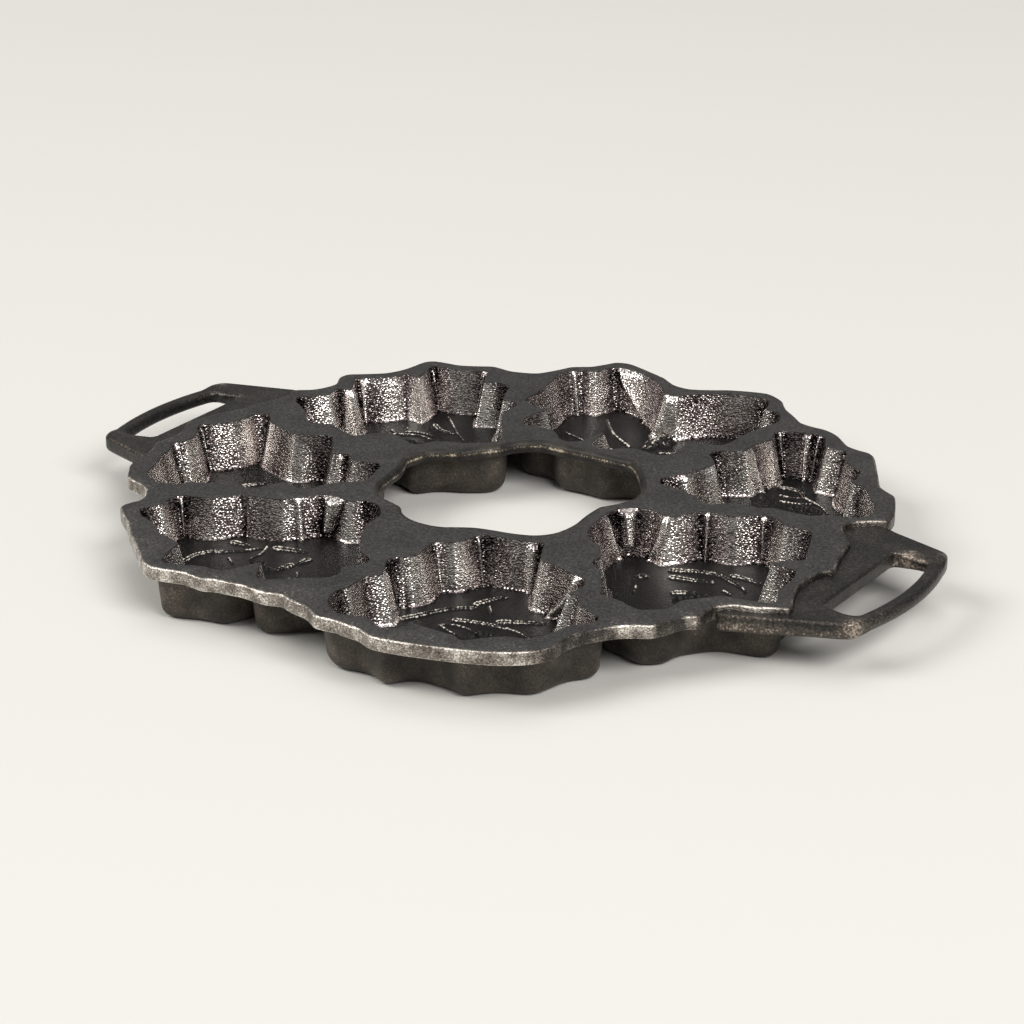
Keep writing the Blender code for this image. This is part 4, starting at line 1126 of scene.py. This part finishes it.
BOW_CREASES = (
    ((8, 112), (22, 122), (34, 136)), ((9, 104), (24, 106), (42, 112)), ((7, 94), (17, 86), (26, 74)),
)
CUPS = (
    Cup(
        "cup_bow", mirrored(BOW_RIGHT), 20.0 * MM,
        (
            Rib(7.0, ((0, 129.5), (-0.6, 123), (-1, 115)), True),
            Berry((2.7, 125.2), radius=5.2, depth=-4.2, brim=0.0),
            Berry((-0.6, 119.6), radius=4.0, depth=-3.0, brim=0.0),
            *(Rib(2.6, tuple((side * x, y) for x, y in line)) for line in BOW_CREASES for side in (1, -1)),
        ),
        (
            Fold((-53.2, 137.2), 2, 1.5), Fold((-30, 150.4), -11, 2.4, lean=24, shape=Shape.FLAP),
            Fold((0, 134.4), 4.2, 2.4, lean=-3), Fold((44, 144.5), 2, 1.2),
        ),
        slit=((5, 60.2), (-5, 60.2)),
    ),
    Cup(
        "cup_upper_left", UPPER_LEFT, 20.5 * MM,
        (
            Rib(2.0, ((-97.6, 100), (-87.6, 90), (-82, 84.4), (-74, 78))),
            Rib(3.2, ((-97, 88), (-91, 84), (-83.5, 83.6)), True),
            Rib(2.4, ((-106, 68), (-99.7, 71.6), (-94, 73), (-87, 71.6))),
            Rib(2.0, ((-103, 73.4), (-96.9, 76.2), (-90.5, 76))),
            Rib(2.0, ((-106, 78.4), (-103, 75.4))), Rib(2.0, ((-110, 72), (-106.5, 70))),
            Leaf((-106, 62), (-126, 44), -2, 11, 3), Leaf((-80, 64), (-46, 47), 3, 12, 3),
            Leaf((-94, 56), (-92, 24), 2, 10, 3), *berries((-86, 65), (-88, 58), (-94, 63)),
        ),
        (
            Fold((-125.5, 60.5), 3, 1.5, lean=2, shape=Shape.FLAP), Fold((-129.4, 78), 3.2, 1.2),
            Fold((-111.1, 106.5), 1.5, 1), Fold((-87.5, 115), 2, 1.3), Fold((-71, 105.4), 4, -1.2, ease=1),
        ),
    ),
    Cup(
        "cup_left", LEFT, 21.0 * MM,
        (
            Rib(3.4, ((-124.6, -18), (-121.8, -14.4), (-119.2, -10.8)), True),
            Leaf((-106, -26), (-70, -20), 3, 13, 3), Leaf((-116, -34), (-128, -62), -2, 10, 3),
            *berries((-112, -26), (-108, -33), (-117, -28)),
        ),
        (
            Fold((-149.2, -35.5), 3, 1.6, lean=2, shape=Shape.FLAP), Fold((-152.2, -12), 2.4, 1.1),
            Fold((-103, 7), 8, -2.2, ease=1), Fold((-81, -6), 2.4, 1.2),
        ),
    ),
    Cup(
        "cup_lower_left", LOWER_LEFT, 17.5 * MM,
        (
            Rib(3.6, ((-88.5, -104), (-88.8, -98), (-86, -91), (-80.5, -87), (-74.5, -82)), True),
            Rib(2.0, ((-74.5, -82), (-70.3, -76))), Rib(4.4, ((-83.8, -77.5), (-77, -77)), True),
            Rib(2.2, ((-69.4, -73.6), (-67.3, -79.7), (-67.6, -88))),
            Rib(2.0, ((-75.2, -91.8), (-70.4, -95.4))),
            Rib(5.0, ((-65.2, -72.8), (-53.4, -69.6)), True), Rib(4.4, ((-47.2, -75.6), (-48, -80.8)), True),
            Rib(4.0, ((-49.7, -83.6), (-52, -92.6)), True), Rib(2.0, ((-43, -88.2), (-40.4, -92))),
            Leaf((-42, -96), (-12, -100), 3, 11, 3), Leaf((-54, -99), (-58, -132), -2, 9, 3),
            *berries((-56.6, -93.4), (-62, -90)),
        ),
        (
            Fold((-107.3, -81.8), 1.8, 1.1), Fold((-86.5, -66.2), 2, -0.9, ease=1),
            Fold((-66, -56.5), 2.2, 1.2),
            Fold((-54, -47.4), 4.8, 3.8, lean=-3, stop=0.97, shape=Shape.COLUMN),
        ),
    ),
    Cup(
        "cup_lower_right", LOWER_RIGHT, 20.5 * MM,
        (
            Rib(4.4, ((15.2, -96.4), (20.4, -87), (24.6, -79.4), (32.4, -72.6)), True),
            Rib(4.0, ((31.4, -69), (33.8, -63), (37.3, -57)), True), Rib(2.0, ((37, -68.3), (41.4, -73.5))),
            Rib(4.4, ((48.6, -78.6), (63.4, -70.4)), True),
            Rib(3.6, ((33, -86.9), (40, -84.4), (46, -83), (54, -82.4)), True),
            Rib(2.0, ((54, -82.4), (61.3, -83.3), (66.4, -85.5))),
            Rib(2.0, ((30.4, -94), (35, -91), (41.5, -90.7), (46.6, -92.4))),
            Rib(2.0, ((30.4, -94), (37.7, -96.9), (45, -99.2))),
            Leaf((58, -90), (92, -96), -3, 11, 3), Leaf((50, -102), (50, -128), 2, 10, 3),
            Leaf((34, -104), (18, -132), -2, 9, 3), *berries((50, -93), (44, -105), (56, -96)),
        ),
        (
            Fold((8.5, -100.5), 3, 1.5, shape=Shape.FLAP), Fold((7.5, -83.7), 1.8, -1, ease=1),
            Fold((9, -64.8), 2, 0.6), Fold((19.3, -50), 1.5, 1.1), Fold((40.5, -42.6), 3, 1),
            Fold((74, -62), 3.4, 1.9, lean=-11),
        ),
    ),
    Cup(
        "cup_right", RIGHT, 20.0 * MM,
        (
            Rib(3.8, ((79.4, 1.4), (91, 6.5), (98, 7.5), (105, 5), (112, 1.6)), True),
            Rib(2.0, ((112, 1.6), (115.2, -1.2))), Rib(3.6, ((103, 10.2), (110, 10.2), (115.8, 9)), True),
            Rib(4.6, ((83.4, -4.4), (91, -3), (99, -0.2)), True), Rib(2.0, ((107.2, -4.9), (111.4, -6.8))),
            Rib(2.0, ((75.4, -20), (78, -26.2))), Rib(4.4, ((92, -17.4), (98.6, -12.6)), True),
            Leaf((104, -26), (112, -64), 3, 11, 3), Leaf((112, -16), (140, -34), 2, 9, 3),
            Berry((72.6, -10.4), depth=-1.4, brim=0.0), *berries((103, -16), (98, -22)),
        ),
        (
            Fold((50.2, -5), 3, 1.6, lean=4, shape=Shape.FLAP),
            Fold((53.8, 8.1), 4.5, 3.6, stop=0.88, shape=Shape.COLUMN), Fold((71.5, 9.2), 2.5, 1.4, lean=-4),
            Fold((83.5, 22.4), 1.5, 1.2), Fold((104.6, 32), 1.5, 1.2),
        ),
    ),
    Cup(
        "cup_upper_right", UPPER_RIGHT, 20.5 * MM,
        (
            Rib(3.0, ((71.6, 106.2), (77, 107.6), (83, 105.6), (86.6, 101.4)), True),
            Rib(2.0, ((76, 98.5), (82, 98.7), (86.6, 101.4))),
            Rib(2.4, ((79.6, 92.4), (85.7, 93.5), (92.2, 97))),
            Rib(2.2, ((86.6, 101.4), (92.9, 98.7), (98, 95.9), (103.4, 91))),
            Leaf((98, 84), (130, 64), 2, 11, 3), Leaf((86, 82), (64, 48), -2, 12, 3),
            *berries((92, 84), (97, 90), (90, 90)),
        ),
        (
            Fold((54.5, 55), 6, 1.6), Fold((58.4, 67), 3.2, 1.4, shape=Shape.FLAP),
            Fold((58, 88), 9, -2.2, ease=1), Fold((62.4, 95), 2.6, 1.6, lean=3, shape=Shape.FLAP),
            Fold((63.3, 120.5), 1.3, 1.1), Fold((74.5, 125.6), 2.2, 1.2), Fold((80.5, 125.8), 1.7, 1),
        ),
    ),
)


@dataclass
class Deck:
    """The flat deck that carries the cups: its rim's rough band and the ground between the openings.

    The rim's ground band is painted paler where it faces the front, less towards the handles and least at the
    back: its grinding marks, brightened as painted light.
    """

    cups: tuple[Cup, ...]
    edge: float = 0.75 * MM
    hole_edge: float = 2.2 * MM
    edge_rings: int = 8
    # The rim's corners and band are painted pale: grinding marks, with painted highlight, and painted light
    # towards the front.
    rim_wear_and_sheen: tuple[float, float] = (0.8, 0.9)
    band_wear_and_sheen: float = 0.5
    # The centre hole's top corner takes a narrow painted highlight.
    hole_highlight: tuple[float, float] = (0.75, 0.0)
    hole_highlight_narrowness: int = 16
    front_from: float = 0.5
    front_over: float = 0.25
    back_share: float = 0.08
    handles_squash: float = 2.2
    handles_from: float = 152 * MM
    handles_over: float = 30 * MM
    handles_share: float = 0.1
    name: str = "deck_plate"

    def fettled_and_lit(self, ring: Array) -> Array:
        """How pale each point of the rim is painted: its grinding marks, with painted light where it faces the
        front.

        Args:
            ring: The rim's ring.

        Returns:
            The product of two shares, one by the way it faces and one by its distance from a flat ellipse.
        """
        # Parts of the rim that face the front are painted paler: painted light.
        front = (-outward(tangents(ring))[:, 1] - self.front_from) / self.front_over
        away = np.linalg.norm(ring * (1, self.handles_squash), axis=1) - self.handles_from
        beside = np.clip(away / self.handles_over, self.handles_share, 1)
        return np.clip(front, self.back_share, 1) * beside

    def rounded(self, skin: Skin, line: Contour, hole: bool) -> tuple[Array, Array]:
        """Draws the deck's edge along a line, with both corners rounded and painted pale: on the rim, grinding
        marks with painted highlight; on the centre hole, a painted highlight alone.

        Args:
            skin: The deck's skin.
            line: The edge's line.
            hole: Whether it is the centre hole's and not the rim's.

        Returns:
            The numbers of its top ring and of its bottom one.
        """
        sign, radius = (1, self.hole_edge) if hole else (-1, self.edge)
        top, base = self.hole_highlight if hole else self.rim_wear_and_sheen
        least, share = (0.0, 1.0) if hole else (self.band_wear_and_sheen, self.fettled_and_lit(line.ring()))
        levels = [(radius + GUARD, 0.0, 0.0)]
        for angle, inward, fallen in quarter(self.edge_rings):
            # Rounded corners are painted pale: a narrow painted highlight on the centre hole, grinding marks
            # with painted highlight on the rim.
            bare_and_sheen = math.sin(angle) ** self.hole_highlight_narrowness if hole else math.sin(2 * angle)
            levels.append((radius * inward, radius * fallen, bare_and_sheen))
        depth = DECK_TOP - DECK_UNDERSIDE
        down = [(reach, fall, top * bare_and_sheen) for reach, fall, bare_and_sheen in levels]
        down += [(reach, depth - fall, base * bare_and_sheen) for reach, fall, bare_and_sheen in reversed(levels)]
        rings = []
        for reach, fall, bare_and_sheen in down:
            moved = at_wreath(line.carried(sign * reach).ring())
            rings.append(skin.ring(moved, DECK_TOP - fall, max(bare_and_sheen, least) * share))
        skin.bands(rings, DeckFinish.HOLE if hole else DeckFinish.RIM, flipped=not hole)
        return rings[0], rings[-1]

    def built(self, finishes: Finishes) -> bpy.types.Object:
        """Builds the deck as one closed skin.

        Args:
            finishes: Its materials, in the order of DeckFinish.

        Returns:
            The deck.
        """
        skin = Skin()
        rim = self.rounded(skin, RIM_LINE, False)
        holes = [self.rounded(skin, Contour.drawn(CENTRE_HOLE), True)]
        for cup in self.cups:
            guard, edge = at_wreath(cup.lip_ring(GUARD)), at_wreath(cup.lip_ring())
            rings = [skin.ring(guard, DECK_TOP), skin.ring(edge, DECK_TOP), skin.ring(edge, DECK_UNDERSIDE)]
            skin.bands(rings, DeckFinish.GROUND)
            holes.append((rings[0], rings[-1]))
        none = np.empty(0)
        skin.fill(rim[0], [hole[0] for hole in holes], none, True, DeckFinish.GROUND)
        skin.fill(rim[1], [hole[1] for hole in holes], none, False, DeckFinish.UNDERSIDE)
        obj = skin.made("deck_casting", finishes)
        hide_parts(self.name)
        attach(obj, "root")
        return obj


@dataclass
class Handle:
    """A D handle beside the rim, at +x with side 1 and at -x with side -1: a plate, and a grip round a slot.

    Pale spots are x, y and reach in millimetres: partly rubbed metal and partly painted highlight. A near root
    is the outline's end at -y, where the handle tapers into the rim along a line of its own. The bar is the
    grip's rounder part between the arms.
    """

    name: str
    side: int
    worn_and_lit_spots: tuple[tuple[float, float, float], ...] = ()
    near_root: tuple[Spot, ...] = ()
    reach: float = 159.4 * MM
    bridge: float = 5.0 * MM
    slot_width: float = 18.9 * MM
    slot_half: float = 31.0 * MM
    grip_width: float = 6.9 * MM
    grip_radius: float = 124.9 * MM
    arc_points: int = 160
    arm_width: float = 10.6 * MM
    flare: float = math.radians(17)
    root_overlap: float = 11.5 * MM
    heel_overlap: float = 25 * MM
    heel_rise: float = 7 * MM
    corner_ease: float = 2.3 * MM
    slot_ease: float = 1.7 * MM
    root_ease: float = 8.0 * MM
    seam: float = 0.3 * MM
    drop: float = 2.1 * MM
    thick: float = 7.2 * MM
    bar_out: float = 10 * MM
    bar_beyond: float = 6 * MM
    bar_ease: float = 8 * MM
    grip_step: float = 0.8 * MM
    grip_round: float = 0.8
    top_edge: float = 1.3 * MM
    top_rings: int = 5
    base_edge: float = 2.4 * MM
    base_rings: int = 6
    # The handle's edges and sides are painted pale: rubbed metal, with painted highlight on the edges and
    # painted light where they face the front.
    top_wear: float = 0.1
    edge_highlight: float = 0.3
    side_wear_and_sheen: float = 0.1
    spot_wear_and_sheen: float = 0.9
    front_light_ramp: tuple[float, float, float] = (0.15, -1.2, 0.1)
    grid: float = 1.6 * MM

    def turned(self, half_outline: Array) -> Array:
        """A clockwise loop at +x, kept there or mirrored to -x, where it stays clockwise."""
        return half_outline if self.side > 0 else half_outline[::-1] * (-1, 1)

    def faces(self) -> tuple[float, float]:
        """The heights of its top and of its base."""
        return DECK_TOP - self.drop, DECK_TOP - self.drop - self.thick

    def arc(self, radius: float, half: float) -> Array:
        """Draws an arc about the grip's centre.

        Args:
            radius: Its radius.
            half: How far from the middle it ends.

        Returns:
            Its points from +y to -y.
        """
        turn = math.asin(half / radius)
        angles = np.linspace(turn, -turn, self.arc_points)
        middle = self.reach + self.bridge + self.slot_width + self.grip_width - self.grip_radius
        return np.column_stack((middle + radius * np.cos(angles), radius * np.sin(angles)))

    def outline(self) -> tuple[Contour, Array]:
        """Draws the handle's outline: its own line outside the rim, closed along the rim's edge a seam away.

        Returns:
            The outline, and how free each of its points is of the rim, from 0 to 1.
        """
        shoulder = self.slot_half + self.arm_width
        arc = self.arc(self.grip_radius, shoulder)
        root_x = self.reach - self.root_overlap
        root_half = shoulder + (arc[0, 0] - root_x) * math.tan(self.flare)
        heel_x, heel_half = self.reach - self.heel_overlap, root_half - self.heel_rise
        near = ((root_x, -root_half), (heel_x, -heel_half))
        if self.near_root:
            near = np.array(self.near_root) * MM
        loop = self.turned(np.vstack(((heel_x, heel_half), (root_x, root_half), arc, near)))
        whole = Contour.marked(loop).evened(self.corner_ease).points
        seat = RIM_LINE.carried(self.seam).points
        beyond, within = ~inside(whole, seat), inside(seat, whole)
        free, along = (
            np.roll(points, -int(np.argmax(kept & ~np.roll(kept, 1))), axis=0)[: int(kept.sum())]
            for points, kept in ((whole, beyond), (seat, within))
        )
        line = Contour.marked(np.vstack((free, along[::-1]))).evened(self.seam).points
        away = np.array([np.linalg.norm(along - point, axis=1).min() for point in line])
        return Contour.marked(line), np.clip((away - self.seam) / self.root_ease, 0, 1)

    def slot(self) -> Contour:
        """Draws the slot, straight beside the plate and curved beside the grip.

        Returns:
            Its outline.
        """
        arc = self.arc(self.grip_radius - self.grip_width, self.slot_half)
        inner = self.reach + self.bridge
        loop = self.turned(np.vstack(((inner, self.slot_half), arc, (inner, -self.slot_half))))
        return Contour.marked(Contour.marked(loop).evened(self.slot_ease).points)

    def bar_share(self, points: Array) -> Array:
        """How far each point belongs to the bar, by the smooth step 3 t^2 - 2 t^3.

        Args:
            points: The points.

        Returns:
            A share for each of them, from 0 on the plate to 1 on the bar.
        """
        out = np.clip((np.abs(points[:, 0]) - self.reach - self.bridge) / self.bar_out, 0, 1)
        along = np.clip((self.slot_half + self.bar_beyond - np.abs(points[:, 1])) / self.bar_ease, 0, 1)
        share = out * along
        return share * share * (3 - 2 * share)

    def wear_and_light_at(self, points: Array, base: float | Array) -> Array:
        """How pale each point is painted. Round a pale spot, the paleness falls off as a bell curve: rubbed
        metal together with painted highlight.

        Args:
            points: The points.
            base: The paleness away from the pale spots.

        Returns:
            A share for each of them.
        """
        worn_and_lit = np.broadcast_to(base, len(points))
        for x, y, reach in self.worn_and_lit_spots:
            away = np.linalg.norm(points - np.array((x, y)) * MM, axis=1) / (reach * MM)
            worn_and_lit = np.maximum(worn_and_lit, self.spot_wear_and_sheen * np.exp(-(away**2)))
        return worn_and_lit

    def down(self, skin: Skin, line: Contour, freedom: Array, hole: bool) -> tuple[Array, Array]:
        """Draws an edge, rounded at its top and more at its base. On the bar, the top is lower and rounder.

        Args:
            skin: The handle's skin.
            line: The edge's line.
            freedom: How free each of its points is to move inwards, from 0 at the rim to 1.
            hole: Whether it is the slot's and not the outline's.

        Returns:
            The numbers of its top ring and of its bottom one.
        """
        sign = 1 if hole else -1
        home = line.ring()
        # Edges that face the front are painted paler: painted light.
        start, slope, least = self.front_light_ramp
        front_light = np.clip(start + slope * -sign * outward(tangents(home))[:, 1], least, 1)
        top, base = self.faces()
        levels = [(self.top_edge + GUARD, top, -1.0, self.top_wear)]
        for angle, inward, fallen in quarter(self.top_rings):
            # The rounded top edge is painted pale as painted highlight.
            wear_and_light = self.top_wear + self.edge_highlight * math.sin(2 * angle)
            levels.append((self.top_edge * inward, top - self.top_edge * fallen, -1.0, wear_and_light))
        for angle, inward, risen in reversed(quarter(self.base_rings)):
            # The lower side is painted pale: rubbed metal with painted highlight.
            wear_and_light = self.side_wear_and_sheen * math.sin(angle)
            levels.append((self.base_edge * inward, base + self.base_edge * risen, 1.0, wear_and_light))
        levels.append((self.base_edge + GUARD, base, 1.0, 0.0))
        share = self.bar_share(home)
        rings = []
        for inset, height, way, wear_and_light in levels:
            rounder = self.grip_round * share * (way < 0)
            moved = line.carried(sign * inset).ring() - home
            ring = home + (freedom * (1 + rounder))[:, None] * moved
            step = way * self.grip_step * share - rounder * (top - height)
            rings.append(skin.ring(at_wreath(ring), height + step, self.wear_and_light_at(ring, wear_and_light * front_light)))
        skin.bands(rings, 0, flipped=not hole)
        return rings[0], rings[-1]

    def spots(self, line: Contour, slot: Contour) -> Array:
        """Covers its faces with an even grid.

        Args:
            line: The outline.
            slot: The slot's outline.

        Returns:
            The grid's points that are well inside the outline and outside the slot.
        """
        grid = even_grid(line.points, self.grid)
        margin = self.base_edge + self.grid / 2
        return grid[inside(grid, line.carried(-margin).points) & ~inside(grid, slot.carried(margin).points)]

    def built(self, finishes: Finishes) -> bpy.types.Object:
        """Builds the handle as one closed skin.

        Args:
            finishes: Its one material.

        Returns:
            The handle.
        """
        skin = Skin()
        line, freedom = self.outline()
        slot = self.slot()
        outer = self.down(skin, line, freedom, False)
        inner = self.down(skin, slot, np.ones(len(slot.points)), True)
        spots = self.spots(line, slot)
        for place, (height, way) in enumerate(zip(self.faces(), (-1.0, 1.0))):
            heights = height + way * self.grip_step * self.bar_share(spots)
            wear_and_light = self.wear_and_light_at(spots, self.top_wear)
            numbers = skin.spots(np.column_stack((at_wreath(spots), heights)), wear_and_light)
            skin.fill(outer[place], [inner[place]], numbers, place == 0, 0)
        obj = skin.made(f"{self.name}_casting", finishes)
        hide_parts(self.name)
        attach(obj, "root")
        return obj


HANDLES = (
    Handle("handle_left", -1, ((-183, 40, 4), (-165, 30, 3))),
    # The right handle's front corner, top edge and side carry painted highlight.
    Handle(
        "handle_right", 1, ((183, -40, 7), (183, 40, 4), (170, 32, 4)),
        ((137, -60.4), (133.5, -59.6), (131.2, -57.2), (130, -53)), side_wear_and_sheen=0.75, edge_highlight=0.5,
    ),
)


@dataclass(frozen=True)
class Lamp:
    """A soft lamp that faces the pan: its place, its size, its power in watts and its tint."""

    name: str
    place: tuple[float, float, float]
    size: tuple[float, float]
    power: float
    tint: str

    def built(self) -> None:
        """Hangs the lamp in the scene."""
        data = bpy.data.lights.new(self.name, "AREA")
        data.shape = "RECTANGLE"
        data.size, data.size_y = self.size
        data.energy = self.power
        data.color = linear(self.tint)[:3]
        obj = bpy.data.objects.new(self.name, data)
        obj.location = self.place
        obj.rotation_euler = (-Vector(self.place)).to_track_quat("-Z", "Y").to_euler()
        bpy.context.scene.collection.objects.link(obj)


LAMPS = (
    Lamp("overhead", (-0.8, 1.1, 4.4), (3.6, 3.6), 60.0, "#fffdfb"),
    Lamp("right", (3.42, -1.45, 3.35), (3.0, 2.2), 210.0, "#fffcfa"),
    Lamp("left", (-2.63, -2.63, 3.35), (2.7, 2.2), 155.0, "#fffdf9"),
)


@dataclass
class Stage:
    """The pale table, the even sky, the lamps and the camera."""

    lens: float = 108.98
    sensor: float = 36.0
    near_clip: float = 0.01
    eye: tuple[float, float, float] = (0.65986, -1.00487, 0.50247)
    across: tuple[float, float, float] = (0.8361, 0.5486, 0.0)
    upward: tuple[float, float, float] = (-0.2072, 0.3158, 0.9259)
    back: tuple[float, float, float] = (0.5079, -0.7741, 0.3777)
    table_reach: float = 6.0
    table_tint: str = "#d1d0cc"
    table_roughness: float = 0.9
    sky_tint: str = "#eeece8"
    sky_strength: float = 0.3

    def camera(self) -> None:
        """Sets the camera at the angle that the object is seen from."""
        data = bpy.data.cameras.new("camera")
        data.lens = self.lens
        data.sensor_width = self.sensor
        data.clip_start = self.near_clip
        obj = bpy.data.objects.new("camera", data)
        axes = Matrix((self.across, self.upward, self.back)).transposed().to_4x4()
        obj.matrix_world = Matrix.Translation(self.eye) @ axes
        bpy.context.scene.collection.objects.link(obj)
        bpy.context.scene.camera = obj

    def floor(self) -> None:
        """Lays a wide pale table top of painted board, matt and even, just under the cups' bases."""
        skin = Skin()
        line = np.array([(-1, -1), (-1, 1), (1, 1), (1, -1)]) * self.table_reach
        skin.faces.append((skin.ring(line, 0.0)[None, ::-1], 0))
        material = bpy.data.materials.new("pale_table")
        material.use_nodes = True
        shader = material.node_tree.nodes["Principled BSDF"]
        shader.inputs["Base Color"].default_value = linear(self.table_tint)
        shader.inputs["Roughness"].default_value = self.table_roughness
        obj = skin.made("table", (material,))

    def lights(self) -> None:
        """Lights an even pale sky, and large soft lamps overhead and in front."""
        world = bpy.data.worlds.new("studio")
        bpy.context.scene.world = world
        world.use_nodes = True
        back = world.node_tree.nodes["Background"]
        back.inputs["Color"].default_value = linear(self.sky_tint)
        back.inputs["Strength"].default_value = self.sky_strength
        for lamp in LAMPS:
            lamp.built()

    def built(self) -> None:
        """Everything round the object."""
        self.camera()
        self.floor()
        self.lights()


def main() -> None:
    """Builds the stage and then each piece of the pan, and logs its name and its number of faces."""
    logging.basicConfig(level=logging.INFO, format="%(message)s")
    scene = bpy.context.scene
    scene.view_settings.view_transform = "Standard"
    Stage().built()
    deck_iron, wall_iron, shaded_floor_iron = DECK_IRON.made(), WALL_IRON.made(), SHADED_FLOOR_IRON.made()
    shell_iron, rim_iron = SHELL_IRON.made(), RIM_IRON.made()
    pieces = [Deck(CUPS).built((deck_iron, rim_iron, shell_iron, HOLE_IRON.made()))]
    for cup in CUPS:
        pieces.append(cup.built((deck_iron, wall_iron, shaded_floor_iron, shell_iron)))
    handle_iron = HANDLE_IRON.made()
    for handle in HANDLES:
        pieces.append(handle.built((handle_iron,)))
    for obj in pieces:
        log.info("%s: %d faces", obj.name, len(obj.data.polygons))


if __name__ == "__main__":
    main()
